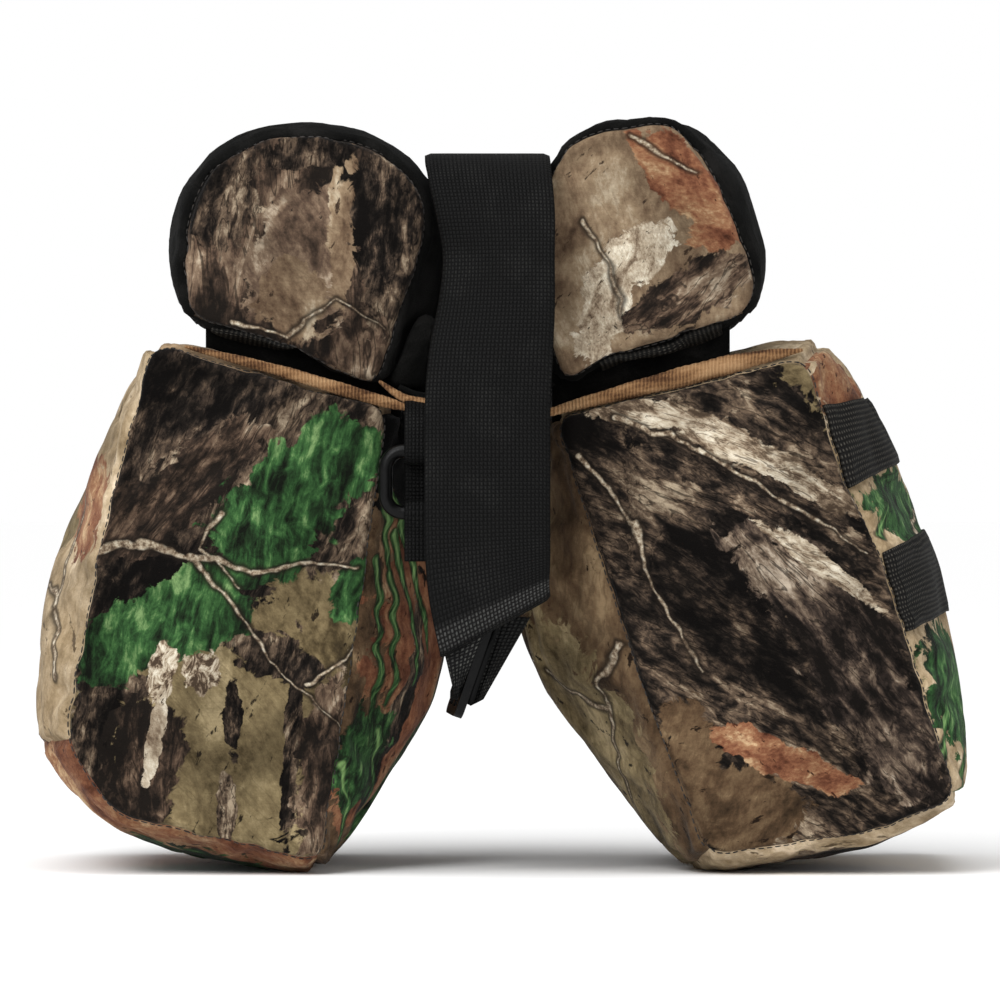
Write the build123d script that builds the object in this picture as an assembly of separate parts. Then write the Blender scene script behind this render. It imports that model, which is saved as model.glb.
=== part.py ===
from build123d import *
import math
import os

# A straddle shooting rest: two leg bags splayed under two short rolls, a narrow yoke
# web between them, and a webbing strap over the top that is adjusted at a ring and a slide.
# Millimetres. X runs across the bags, Y from the front end to the back end, Z is up from the floor.

# ---- driving dimensions -------------------------------------------------------------
LEG_SEAM_Y = 74.0         # the leg bags' end seams, each side of the middle
LEG_CROWN = 6.0           # how far a leg's end panel swells past its seam
ROLL_SEAM_Y = 71.0
ROLL_CROWN = 5.0
CROWN_SHARE = 0.72        # size of an end panel's flat middle against its seam outline
CROWN_SPREAD = 80.0       # a crown ring this much wider would be one whole share larger
SHARP_CORNER = 0.5        # an inset never reaches further than this share of its square push
CLOTH = 1.6               # lined cloth, one layer
SKIN_GAP = 0.05           # between a band sewn on top and the cloth under it
BAND_THICK = 1.2          # hook bands on the right leg
CLOSURE_THICK = 2.0       # hook-and-loop closure under each roll

WEB_WIDTH = 38.0          # strap webbing
WEB_THICK = 1.8
STRAP_X = -4.4            # middle of the strap's rear end

YOKE_LEFT_X = -26.0
YOKE_RIGHT_X = 13.5
YOKE_Z = 146.0
YOKE_THICK = 3.0
YOKE_HALF_Y = 72.0

RING_X = -13.2            # oval ring that hangs from the front tab
RING_Y = -85.6
RING_TOP_Z = 129.6        # middle of its upper bar, which is also its hinge
RING_BAR_R = 2.1
RING_SPAN = 44.4          # side bar middle to side bar middle
RING_DROP = 18.8          # upper bar middle to lower bar middle
RING_CORNER = 5.5
LOOP_WIDTH = 33.0         # webbing pinched a little to pass through the ring
TAB_CLEAR = 0.4           # between a webbing loop and the bar inside it
TAB_TOP_Z = 148.0
REAR_TAB_REACH = 14.0     # how far the rear tab stands out behind the yoke
END_LOOP_Z = 96.0         # lower end of the webbing loop that the ring holds

SLIDE_LONG = 45.0         # three-bar slide, bars along its long side
SLIDE_SHORT = 21.0
SLIDE_THICK = 2.6
SLIDE_BAR = 3.4
SLIDE_END = 2.9           # from a slot's end to the slide's end
SLIDE_SLOT_CORNER = 0.8
SLIDE_CORNER = 3.0
SLIDE_PLACE = (-7.4, -89.0, 70.5)
SLIDE_LEAN = 19.0         # degrees that its long side leans from upright
SLIDE_YAW = 8.0           # degrees that its back edge is turned to the left
SLIDE_SIDE_GAP = 0.8      # from the webbing's edge to the end of a slot
WEAVE = 2.4               # how far the webbing stands off the slide's mid-plane

# Stations along a bag from end seam to end seam, and how far the cloth has swollen there.
STATIONS = (-1.0, -0.86, -0.6, -0.2, 0.2, 0.6, 0.86, 1.0)
SWELL = (0.0, 0.5, 0.86, 1.0, 1.0, 0.86, 0.5, 0.0)

# The strap's middle line from the rear tab over the groove and down the front to its fold:
# x, y, z, then how far its width is turned about the upright and tilted, in degrees.
STRAP_ROUTE = (
    (-4.4, 76.0, 149.2, 0, 0),
    (-4.4, 91.0, 149.6, 0, 0),
    (-4.4, 101.5, 155.0, 0, 0),
    (-4.4, 108.0, 168.0, 0, 0),
    (-4.4, 108.0, 186.0, 0, 0),
    (-4.4, 101.0, 203.0, 0, 0),
    (-4.4, 89.0, 215.0, 0, 0),
    (-4.6, 72.0, 219.6, 0, 0),
    (-4.8, 36.0, 219.0, 0, 0),
    (-4.8, -36.0, 219.0, 0, 0),
    (-4.6, -72.0, 219.8, 0, 0),
    (-4.3, -84.0, 218.2, 0, 0),
    (-3.6, -92.5, 212.0, -8, 0),
    (-2.4, -97.0, 202.0, -18, 0),
    (-1.6, -99.0, 189.0, -27, 0),
    (-2.0, -101.0, 175.0, -22, 0),
    (-3.4, -103.5, 160.0, -10, 0),
    (-4.3, -105.0, 144.0, 0, 0),
    (-4.4, -106.0, 124.0, 0, 0),
    (-4.4, -106.4, 105.0, 0, 2),
    (-4.0, -106.4, 93.0, 0, 12),
    (-3.0, -106.0, 83.5, 0, 24),
    (-2.2, -105.0, 78.0, 0, 29),
    (-2.0, -103.2, 76.6, 0, 29),
    (-2.2, -101.6, 78.0, 0, 29),
    (-2.8, -101.2, 84.0, 0, 29),
)

# Outlines seen from the front, corner by corner:
# name, (x, z, reach) at the end seams, (x, z, reach) at the middle, points round the corner.
# Reach is how far the rounding starts before the corner; 1 point is a plain corner.
LEFT_LEG = (
    ("top_out", (-107.5, 164.0, 5), (-109.0, 165.5, 14), 3),
    ("top_in", (-34.0, 143.0, 4), (-27.5, 144.0, 5), 3),
    ("side_in", (-45.0, 80.0, 20), (-14.0, 62.0, 24), 5),
    ("bottom_in", (-54.0, 2.5, 5), (-57.0, -4.0, 12), 3),
    ("bottom", (-119.0, 16.5, 8), (-120.0, 9.0, 18), 3),
    ("bottom_out", (-135.0, 41.0, 9), (-146.0, 38.0, 16), 3),
    ("side_out", (-126.5, 85.0, 20), (-143.5, 88.0, 28), 5),
)
RIGHT_LEG = (
    ("top_out", (93.5, 159.5, 5), (101.0, 168.0, 14), 3),
    ("top_in", (15.0, 140.5, 4), (15.5, 143.5, 5), 3),
    ("side_in", (36.0, 80.0, 20), (2.0, 74.0, 20), 5),
    ("bottom_in", (62.0, 4.5, 5), (57.0, -4.0, 12), 3),
    ("bottom", (112.0, 11.5, 8), (114.0, 7.0, 16), 3),
    ("bottom_out", (141.0, 23.0, 6), (145.5, 22.0, 12), 3),
    ("side_out", (131.0, 50.0, 0), (143.0, 50.0, 0), 1),
    ("low_band_foot", (123.5, 74.4, 0), (138.0, 80.0, 0), 1),
    ("low_band_head", (116.0, 98.5, 0), (130.5, 105.0, 0), 1),
    ("high_band_foot", (106.0, 118.3, 0), (122.5, 126.0, 0), 1),
    ("high_band_head", (98.8, 144.0, 0), (113.5, 146.0, 0), 1),
)
LEFT_ROLL = (
    ("out", (-99.0, 186.0, 10), (-103.0, 186.0, 12), 3),
    ("out_top", (-95.0, 214.0, 12), (-98.5, 219.0, 14), 3),
    ("top", (-69.0, 229.0, 10), (-69.0, 232.5, 12), 3),
    ("in_top", (-36.0, 224.5, 12), (-34.0, 228.0, 14), 3),
    ("shoulder", (-19.0, 203.0, 10), (-17.0, 206.0, 10), 3),
    ("in_side", (-29.0, 176.0, 8), (-18.5, 178.0, 12), 3),
    ("tip", (-38.0, 148.0, 3), (-33.0, 151.0, 5), 3),
    ("strip_in", (-64.0, 160.8, 0), (-64.0, 160.8, 0), 1),
    ("strip_out", (-89.0, 167.6, 0), (-89.0, 167.4, 0), 1),
    ("low_out", (-96.0, 169.5, 3), (-98.5, 169.0, 4), 3),
)
RIGHT_ROLL = (
    ("out", (80.5, 178.5, 5), (84.0, 184.0, 8), 3),
    ("out_top", (66.0, 216.5, 8), (74.0, 215.0, 10), 3),
    ("top", (53.0, 232.0, 6), (56.0, 233.5, 9), 3),
    ("in_top", (19.0, 226.5, 8), (28.0, 230.0, 10), 3),
    ("shoulder", (10.0, 203.0, 10), (10.0, 207.0, 10), 3),
    ("in_side", (10.0, 176.0, 8), (7.5, 178.0, 10), 3),
    ("tip", (18.0, 149.5, 3), (17.5, 151.0, 4), 3),
    ("strip_in", (30.0, 156.5, 0), (30.0, 156.0, 0), 1),
    ("strip_out", (67.0, 168.5, 0), (67.0, 167.5, 0), 1),
    ("low_out", (75.0, 170.5, 3), (79.0, 171.5, 4), 3),
)


# ---- small helpers ------------------------------------------------------------------
def outline(corners, which):
    """Points (x, z) of one outline, and the index of each corner's middle point."""
    places = [corner[which] for corner in corners]
    points = []
    middles = {}
    for i, (name, *_, count) in enumerate(corners):
        x, z, reach = places[i]
        if count == 1:
            middles[name] = len(points)
            points.append((x, z))
            continue
        before = places[i - 1]
        after = places[(i + 1) % len(places)]
        start = toward((x, z), before, reach)
        end = toward((x, z), after, reach)
        middles[name] = len(points) + count // 2
        for step in range(count):
            t = step / (count - 1)
            points.append(tuple(
                (1 - t) ** 2 * start[k] + 2 * t * (1 - t) * (x, z)[k] + t * t * end[k]
                for k in (0, 1)
            ))
    return points, middles


def toward(here, there, reach):
    """The point that lies reach from here on the way there."""
    dx = there[0] - here[0]
    dz = there[1] - here[1]
    length = math.hypot(dx, dz)
    return (here[0] + dx * reach / length, here[1] + dz * reach / length)


def area2(points):
    """Twice the signed area of a closed outline."""
    total = 0.0
    for (xa, za), (xb, zb) in zip(points, points[1:] + points[:1]):
        total += xa * zb - xb * za
    return total


def inset(points, depth):
    """The outline moved inward by depth; a negative depth moves it outward."""
    side = 1.0 if area2(points) > 0 else -1.0
    moved = []
    for i, (x, z) in enumerate(points):
        xa, za = points[i - 1]
        xb, zb = points[(i + 1) % len(points)]
        first = Vector(x - xa, z - za, 0).normalized()
        second = Vector(xb - x, zb - z, 0).normalized()
        normal = Vector(-(first.Y + second.Y), first.X + second.X, 0).normalized()
        square = Vector(-first.Y, first.X, 0)
        push = side * depth / max(SHARP_CORNER, normal.dot(square))
        moved.append((x + normal.X * push, z + normal.Y * push))
    return moved


def scaled(points, share):
    """The outline shrunk towards its own middle."""
    mid_x = sum(p[0] for p in points) / len(points)
    mid_z = sum(p[1] for p in points) / len(points)
    return [(mid_x + (x - mid_x) * share, mid_z + (z - mid_z) * share) for x, z in points]


def ring_at(points, y, floor=None):
    """An outline set at depth y, kept from going below the floor."""
    if floor is None:
        return [Vector(x, y, z) for x, z in points]
    return [Vector(x, y, max(z, floor)) for x, z in points]


def band(first, second, closed):
    """Triangles between two rows of points."""
    count = len(first) if closed else len(first) - 1
    faces = []
    for i in range(count):
        j = (i + 1) % len(first)
        faces += facet(first[i], first[j], second[j])
        faces += facet(first[i], second[j], second[i])
    return faces


def facet(a, b, c):
    """One triangle, or nothing where two of its corners coincide."""
    if (b - a).cross(c - a).length < 1e-7:
        return []
    return [Face(Wire.make_polygon([a, b, c], close=True))]


def cap(points):
    return [Face(Wire.make_polygon(points, close=True))]


def closed_solid(faces):
    solid = Solid(Shell(faces))
    if solid.volume < 0:
        solid = -solid
    return solid.clean()


def core(rings):
    """A solid through closed rings, with a flat cap at each end."""
    faces = cap(rings[0]) + cap(rings[-1])
    for first, second in zip(rings, rings[1:]):
        faces += band(first, second, True)
    return closed_solid(faces)


def bowl(outer, inner):
    """A dished panel: outer and inner are each a rim ring and a flat-topped crown ring."""
    faces = cap(outer[1]) + cap(inner[1])
    faces += band(outer[0], outer[1], True)
    faces += band(inner[0], inner[1], True)
    faces += band(outer[0], inner[0], True)
    return closed_solid(faces)


def sheet(outer, inner):
    """A strip of cloth between two matching grids of points."""
    faces = []
    for grid in (outer, inner):
        for first, second in zip(grid, grid[1:]):
            faces += band(first, second, False)
    faces += band(outer[0], inner[0], False)
    faces += band(outer[-1], inner[-1], False)
    for end in (0, -1):
        faces += band([row[end] for row in outer], [row[end] for row in inner], False)
    return closed_solid(faces)


def span(row, first, last):
    """The stretch of a closed row from one index round to another."""
    count = (last - first) % len(row) + 1
    return [row[(first + k) % len(row)] for k in range(count)]


# ---- bags ---------------------------------------------------------------------------
class Bag:
    """The outer and inner rings of one bag, and the panels cut from them."""

    def __init__(self, corners, seam_y, crown, floor=None):
        seam, self.at = outline(corners, 1)
        middle, _ = outline(corners, 2)
        self.stations = [seam_y * s for s in STATIONS]
        self.outlines = []
        for swell in SWELL:
            self.outlines.append([
                (a[0] + (b[0] - a[0]) * swell, a[1] + (b[1] - a[1]) * swell)
                for a, b in zip(seam, middle)
            ])
        self.seam = seam
        self.floor = floor
        self.seam_y = seam_y
        self.crown = crown

    def rings(self, depth):
        floor = None if self.floor is None else self.floor + depth
        return [
            ring_at(inset(points, depth), y, floor)
            for points, y in zip(self.outlines, self.stations)
        ]

    def crown_ring(self, side, depth):
        share = CROWN_SHARE - depth / CROWN_SPREAD
        return ring_at(scaled(self.seam, share), side * (self.seam_y + self.crown - depth))

    def end_panel(self, side):
        index = 0 if side < 0 else -1
        outer = [self.rings(0.0)[index], self.crown_ring(side, 0.0)]
        inner = [self.rings(CLOTH)[index], self.crown_ring(side, CLOTH)]
        return bowl(outer, inner)

    def gusset(self, first, last):
        a, b = self.at[first], self.at[last]
        outer = [span(row, a, b) for row in self.rings(0.0)]
        inner = [span(row, a, b) for row in self.rings(CLOTH)]
        return sheet(outer, inner)

    def patch(self, first, last, thick):
        """A band sewn on top of the cloth, from one corner to another."""
        a, b = self.at[first], self.at[last]
        inner = [span(row, a, b) for row in self.rings(-SKIN_GAP)]
        outer = [span(row, a, b) for row in self.rings(-SKIN_GAP - thick)]
        return sheet(outer, inner)

    def fill(self):
        rings = self.rings(CLOTH)
        ends = [self.crown_ring(side, CLOTH) for side in (-1, 1)]
        return core([ends[0]] + rings + [ends[1]])


def leg(side, corners):
    bag = Bag(corners, LEG_SEAM_Y, LEG_CROWN, floor=0.0)
    nodes = {
        f"{side}_leg_front_panel": bag.end_panel(-1),
        f"{side}_leg_back_panel": bag.end_panel(1),
        f"{side}_leg_top_gusset": bag.gusset("top_out", "top_in"),
        f"{side}_leg_inner_gusset": bag.gusset("top_in", "bottom_in"),
        f"{side}_leg_bottom_gusset": bag.gusset("bottom_in", "bottom_out"),
        f"{side}_leg_outer_gusset": bag.gusset("bottom_out", "top_out"),
        f"{side}_leg_fill": bag.fill(),
    }
    if side == "right":
        nodes["hook_band_low"] = bag.patch("low_band_foot", "low_band_head", BAND_THICK)
        nodes["hook_band_high"] = bag.patch("high_band_foot", "high_band_head", BAND_THICK)
    return nodes


def roll(side, corners):
    bag = Bag(corners, ROLL_SEAM_Y, ROLL_CROWN)
    return {
        f"{side}_roll_front_disc": bag.end_panel(-1),
        f"{side}_roll_back_disc": bag.end_panel(1),
        f"{side}_roll_wrap": bag.gusset("low_out", "tip"),
        f"{side}_roll_underside": bag.gusset("tip", "low_out"),
        f"{side}_roll_closure": bag.patch("strip_in", "strip_out", CLOSURE_THICK),
        f"{side}_roll_fill": bag.fill(),
    }


# ---- yoke, tabs and strap -----------------------------------------------------------
def yoke():
    width = YOKE_RIGHT_X - YOKE_LEFT_X
    middle = (YOKE_LEFT_X + YOKE_RIGHT_X) / 2
    return Pos(middle, 0, YOKE_Z) * Box(width, 2 * YOKE_HALF_Y, YOKE_THICK)


def loop_section(bar_y, bar_z, stem_z):
    """Webbing doubled round a bar, with a two-layer stem up or down to stem_z."""
    inside = RING_BAR_R + TAB_CLEAR
    outside = inside + WEB_THICK
    height = abs(stem_z - bar_z)
    middle = (bar_z + stem_z) / 2
    return (
        Pos(bar_y, bar_z) * Circle(outside)
        + Pos(bar_y, middle) * Rectangle(2 * WEB_THICK, height)
        - Pos(bar_y, bar_z) * Circle(inside)
    )


def across(section, middle_x, width):
    """A section drawn in (y, z), extruded along X about middle_x."""
    plane = Plane(origin=(middle_x - width / 2, 0, 0), x_dir=(0, 1, 0), z_dir=(1, 0, 0))
    return extrude(plane * section, amount=width)


def front_tab():
    top = TAB_TOP_Z - 2 * WEB_THICK
    reach = -YOKE_HALF_Y - (RING_Y - WEB_THICK)
    flap = Pos(RING_Y - WEB_THICK + reach / 2, top + WEB_THICK) * Rectangle(reach, 2 * WEB_THICK)
    section = loop_section(RING_Y, RING_TOP_Z, top + WEB_THICK) + flap
    return across(section, RING_X, LOOP_WIDTH)


def rear_tab():
    middle_y = YOKE_HALF_Y + REAR_TAB_REACH / 2
    block = Box(WEB_WIDTH, REAR_TAB_REACH, 2 * WEB_THICK)
    return Pos(STRAP_X, middle_y, TAB_TOP_Z - WEB_THICK) * block


def ring():
    half_x = RING_SPAN / 2
    path = Pos(RING_X, 0, RING_TOP_Z - RING_DROP / 2) * (
        Plane(origin=(0, RING_Y, 0), x_dir=(1, 0, 0), z_dir=(0, -1, 0))
        * RectangleRounded(2 * half_x, RING_DROP, RING_CORNER)
    )
    wire = path.faces()[0].outer_wire()
    start = wire @ 0
    section = Plane(origin=start, z_dir=wire % 0) * Circle(RING_BAR_R)
    return sweep(section, path=wire)


def end_loop():
    section = loop_section(RING_Y, RING_TOP_Z - RING_DROP, END_LOOP_Z)
    return across(section, RING_X, LOOP_WIDTH)


def carry_strap():
    """Flat webbing along its route, turned and tilted station by station."""
    upper = []
    lower = []
    for i, (x, y, z, turn, tilt) in enumerate(STRAP_ROUTE):
        here = Vector(x, y, z)
        before = Vector(*STRAP_ROUTE[max(i - 1, 0)][:3])
        after = Vector(*STRAP_ROUTE[min(i + 1, len(STRAP_ROUTE) - 1)][:3])
        turn = math.radians(turn)
        tilt = math.radians(tilt)
        width = Vector(
            math.cos(turn) * math.cos(tilt), math.sin(turn) * math.cos(tilt), math.sin(tilt)
        )
        normal = (after - before).normalized().cross(width).normalized() * (WEB_THICK / 2)
        edge = width * (WEB_WIDTH / 2)
        upper.append([here - edge + normal, here + edge + normal])
        lower.append([here - edge - normal, here + edge - normal])
    return sheet(upper, lower)


def slide_plane():
    """The plane of the slide: leaning with the strap, its back edge turned to the left."""
    lean = math.radians(SLIDE_LEAN)
    yaw = math.radians(SLIDE_YAW)
    face = Vector(-math.cos(lean), 0, math.sin(lean))
    depth = Vector(0, 1, 0)
    return Plane(
        origin=SLIDE_PLACE,
        x_dir=depth * math.cos(yaw) + face * math.sin(yaw),
        z_dir=face * math.cos(yaw) - depth * math.sin(yaw),
    )


def tri_glide():
    """A flat plate with two slots, so three bars run along its long side."""
    slot = (SLIDE_SHORT - 3 * SLIDE_BAR) / 2
    offset = (slot + SLIDE_BAR) / 2
    plate = RectangleRounded(SLIDE_SHORT, SLIDE_LONG, SLIDE_CORNER)
    window = RectangleRounded(slot, SLIDE_LONG - 2 * SLIDE_END, SLIDE_SLOT_CORNER)
    plate -= Pos(-offset, 0) * window
    plate -= Pos(offset, 0) * window
    return extrude(slide_plane() * plate, amount=SLIDE_THICK / 2, both=True)


def strap_link():
    """The webbing that weaves over, under and over the slide's bars."""
    bar_pitch = (SLIDE_SHORT - SLIDE_BAR) / 2
    turn_in = bar_pitch / 3
    weave = (
        (-bar_pitch, -WEAVE),
        (-bar_pitch + turn_in, -WEAVE),
        (-turn_in, WEAVE),
        (turn_in, WEAVE),
        (bar_pitch - turn_in, -WEAVE),
        (bar_pitch, -WEAVE),
    )
    plane = slide_plane()
    half = WEB_WIDTH / 2 - SLIDE_SIDE_GAP
    upper = []
    lower = []
    for i, (u, n) in enumerate(weave):
        before = weave[max(i - 1, 0)]
        after = weave[min(i + 1, len(weave) - 1)]
        du = after[0] - before[0]
        dn = after[1] - before[1]
        length = math.hypot(du, dn)
        nu = -dn / length * WEB_THICK / 2
        nn = du / length * WEB_THICK / 2
        for rows, sign in ((upper, 1), (lower, -1)):
            rows.append([
                plane.from_local_coords(Vector(u + sign * nu, v, n + sign * nn))
                for v in (-half, half)
            ])
    return sheet(upper, lower)


def main():
    nodes = {
        "yoke_web": yoke(),
        "front_tab": front_tab(),
        "rear_tab": rear_tab(),
        "carry_strap": carry_strap(),
        "ring": ring(),
        "strap_end_loop": end_loop(),
        "tri_glide": tri_glide(),
        "strap_link": strap_link(),
    }
    nodes.update(leg("left", LEFT_LEG))
    nodes.update(leg("right", RIGHT_LEG))
    nodes.update(roll("left", LEFT_ROLL))
    nodes.update(roll("right", RIGHT_ROLL))
    os.makedirs("parts", exist_ok=True)
    for name, shape in nodes.items():
        export_step(shape, f"parts/{name}.step")


main()
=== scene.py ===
import math

import bpy
import numpy as np
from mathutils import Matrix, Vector
from mathutils.bvhtree import BVHTree


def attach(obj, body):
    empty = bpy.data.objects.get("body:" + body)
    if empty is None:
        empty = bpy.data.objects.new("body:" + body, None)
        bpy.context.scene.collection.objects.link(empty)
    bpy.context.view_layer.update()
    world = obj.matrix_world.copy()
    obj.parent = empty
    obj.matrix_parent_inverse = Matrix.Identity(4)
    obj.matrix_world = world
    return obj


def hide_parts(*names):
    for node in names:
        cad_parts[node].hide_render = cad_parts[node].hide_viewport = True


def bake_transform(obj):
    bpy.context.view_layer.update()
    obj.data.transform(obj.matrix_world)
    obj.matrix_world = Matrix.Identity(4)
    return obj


# A straddle shooting rest: two camouflage leg bags, two rolls wrapped in black suede cloth
# and a webbing strap. Metres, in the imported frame: X across, Y front to back, Z up.

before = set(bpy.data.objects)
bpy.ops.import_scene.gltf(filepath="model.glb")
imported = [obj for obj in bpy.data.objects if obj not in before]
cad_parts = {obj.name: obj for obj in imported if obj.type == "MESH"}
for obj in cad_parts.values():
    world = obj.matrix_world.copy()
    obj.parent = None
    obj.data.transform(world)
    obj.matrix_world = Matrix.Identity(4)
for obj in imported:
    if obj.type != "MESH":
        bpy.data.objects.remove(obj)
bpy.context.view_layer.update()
MM = 0.001

# ---- camera, light and stage --------------------------------------------------------
VIEW_WIDTH = 0.305          # width of the picture at the front end panels
VIEW_DISTANCE = 2.5
VIEW_CENTRE = (-0.0006, 0.1147)
FRONT_Y = -0.080
SENSOR = 36.0
ROOM_LIGHT = 0.42           # of the white room's light on the bag; the camera sees it white
FLOOR_HALF = 40.0


def make_camera():
    data = bpy.data.cameras.new("camera")
    data.sensor_width = SENSOR
    data.lens = SENSOR * VIEW_DISTANCE / VIEW_WIDTH
    data.clip_start = 0.05
    data.clip_end = 50.0
    camera = bpy.data.objects.new("camera", data)
    bpy.context.scene.collection.objects.link(camera)
    camera.location = (VIEW_CENTRE[0], FRONT_Y - VIEW_DISTANCE, VIEW_CENTRE[1])
    camera.rotation_euler = (math.radians(90), 0, 0)
    bpy.context.scene.camera = camera


def area_light(name, place, size, watts):
    data = bpy.data.lights.new(name, "AREA")
    data.shape = "RECTANGLE"
    data.size, data.size_y = size
    data.energy = watts
    lamp = bpy.data.objects.new(name, data)
    bpy.context.scene.collection.objects.link(lamp)
    lamp.location = place
    away = Vector(place) - Vector((0, 0, 0.11))
    lamp.rotation_euler = away.to_track_quat("Z", "Y").to_euler()


def sun_light(name, place, spread, strength):
    """A wide soft light that is the same everywhere, so the floor stays even."""
    data = bpy.data.lights.new(name, "SUN")
    data.angle = math.radians(spread)
    data.energy = strength
    lamp = bpy.data.objects.new(name, data)
    bpy.context.scene.collection.objects.link(lamp)
    lamp.location = place
    lamp.rotation_euler = Vector(place).to_track_quat("Z", "Y").to_euler()


def make_stage():
    bpy.context.scene.view_settings.view_transform = "Standard"
    world = bpy.data.worlds.new("studio")
    bpy.context.scene.world = world
    world.use_nodes = True
    tree = world.node_tree
    background = tree.nodes["Background"]
    background.inputs["Color"].default_value = (1.0, 1.0, 1.0, 1.0)
    path = tree.nodes.new("ShaderNodeLightPath")
    level = tree.nodes.new("ShaderNodeMapRange")
    level.inputs["To Min"].default_value = ROOM_LIGHT
    level.inputs["To Max"].default_value = 1.0
    tree.links.new(path.outputs["Is Camera Ray"], level.inputs["Value"])
    tree.links.new(level.outputs["Result"], background.inputs["Strength"])
    sun_light("sky_light", (-0.25, -0.35, 1.0), 60, 2.3)
    area_light("key", (-0.7, -1.7, 1.1), (0.8, 0.8), 22)
    area_light("side_light", (1.4, -1.2, 0.8), (1.0, 1.0), 6)
    side = FLOOR_HALF
    mesh = bpy.data.meshes.new("floor")
    mesh.from_pydata(
        [(-side, -side, 0), (side, -side, 0), (side, side, 0), (-side, side, 0)], [], [(0, 1, 2, 3)]
    )
    floor = bpy.data.objects.new("floor", mesh)
    bpy.context.scene.collection.objects.link(floor)
    pale = bpy.data.materials.new("pale_floor")
    pale.use_nodes = True
    shader = pale.node_tree.nodes["Principled BSDF"]
    shader.inputs["Base Color"].default_value = (0.95, 0.95, 0.95, 1)
    shader.inputs["Roughness"].default_value = 0.9
    mesh.materials.append(pale)


# ---- material nodes -----------------------------------------------------------------
def linear(rgb):
    """A colour given as 0-255 screen values, in linear light."""
    out = []
    for value in rgb:
        c = value / 255.0
        out.append(c / 12.92 if c <= 0.04045 else ((c + 0.055) / 1.055) ** 2.4)
    return (*out, 1.0)


def put(tree, socket, value):
    if isinstance(value, bpy.types.NodeSocket):
        tree.links.new(value, socket)
    else:
        socket.default_value = value


class Nodes:
    """A short way to write one node tree."""

    def __init__(self, tree):
        self.tree = tree

    def make(self, kind, inputs, **settings):
        node = self.tree.nodes.new("ShaderNode" + kind)
        for key, value in settings.items():
            setattr(node, key, value)
        for key, value in inputs.items():
            put(self.tree, node.inputs[key], value)
        return node

    def math(self, operation, a, b=0.0, c=0.0, clamp=False):
        node = self.make("Math", {0: a, 1: b, 2: c}, operation=operation, use_clamp=clamp)
        return node.outputs[0]

    def vector(self, operation, a, b=(0, 0, 0), output="Vector"):
        return self.make("VectorMath", {0: a, 1: b}, operation=operation).outputs[output]

    def scale(self, a, factor):
        return self.make("VectorMath", {0: a, "Scale": factor}, operation="SCALE").outputs[0]

    def noise(self, place, size, detail=3.0, rough=0.5, warp=0.0, output="Fac"):
        return self.make("TexNoise", {
            "Vector": place, "Scale": 1.0 / size, "Detail": detail,
            "Roughness": rough, "Distortion": warp,
        }).outputs[output]

    def turned(self, place, degrees, stretch=1.0):
        """The pattern's frame turned in its own plane, then drawn out along its first axis."""
        turned = self.make("VectorRotate", {
            "Vector": place, "Angle": math.radians(-degrees)
        }, rotation_type="Z_AXIS").outputs[0]
        return self.vector("MULTIPLY", turned, (1.0 / stretch, 1.0, 1.0))

    def step(self, value, low, high):
        return self.make("MapRange", {
            "Value": value, "From Min": low, "From Max": high
        }, interpolation_type="SMOOTHSTEP").outputs[0]

    def mix(self, factor, a, b, blend="MIX"):
        node = self.make("Mix", {0: factor}, data_type="RGBA", blend_type=blend)
        put(self.tree, node.inputs[6], a)
        put(self.tree, node.inputs[7], b)
        return node.outputs[2]

    def ramp(self, value, stops):
        node = self.make("ValToRGB", {"Fac": value})
        marks = node.color_ramp.elements
        while len(marks) < len(stops):
            marks.new(0.5)
        for mark, (place, rgb) in zip(marks, stops):
            mark.position = place
            mark.color = linear(rgb)
        return node.outputs[0]


def group(name, inputs, build):
    """A node group with one value out."""
    tree = bpy.data.node_groups.new(name, "ShaderNodeTree")
    for key, kind in inputs:
        tree.interface.new_socket(key, in_out="INPUT", socket_type="NodeSocket" + kind)
    tree.interface.new_socket("Value", in_out="OUTPUT", socket_type="NodeSocketFloat")
    source = tree.nodes.new("NodeGroupInput")
    sink = tree.nodes.new("NodeGroupOutput")
    tree.links.new(build(Nodes(tree), source.outputs), sink.inputs[0])
    return tree


def streak_value(n, given):
    """Distance outside a tapering straight streak from A to B."""
    along = n.vector("SUBTRACT", given["B"], given["A"])
    here = n.vector("SUBTRACT", given["Place"], given["A"])
    share = n.math(
        "DIVIDE", n.vector("DOT_PRODUCT", here, along, "Value"),
        n.vector("DOT_PRODUCT", along, along, "Value"), clamp=True,
    )
    gap = n.vector("LENGTH", n.vector("SUBTRACT", here, n.scale(along, share)), output="Value")
    half = n.math("MULTIPLY", given["Half"], n.math("MULTIPLY_ADD", share, -0.65, 1.0))
    return n.math("SUBTRACT", gap, half)


def blob_value(n, given):
    """1 in the middle of an ellipse, 0 on its edge, negative outside."""
    here = n.vector("SUBTRACT", given["Place"], given["Centre"])
    turned = n.make("VectorRotate", {
        "Vector": here, "Angle": given["Angle"]
    }, rotation_type="Z_AXIS").outputs[0]
    share = n.vector("DIVIDE", turned, given["Radii"])
    return n.math("SUBTRACT", 1.0, n.vector("LENGTH", share, output="Value"))


STREAK = group("streak", (
    ("Place", "Vector"), ("A", "Vector"), ("B", "Vector"), ("Half", "Float")
), streak_value)
BLOB = group("blob", (
    ("Place", "Vector"), ("Centre", "Vector"), ("Radii", "Vector"), ("Angle", "Float")
), blob_value)


def grouped(n, tree, inputs):
    node = n.tree.nodes.new("ShaderNodeGroup")
    node.node_tree = tree
    for key, value in inputs.items():
        put(n.tree, node.inputs[key], value)
    return node.outputs[0]


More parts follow.
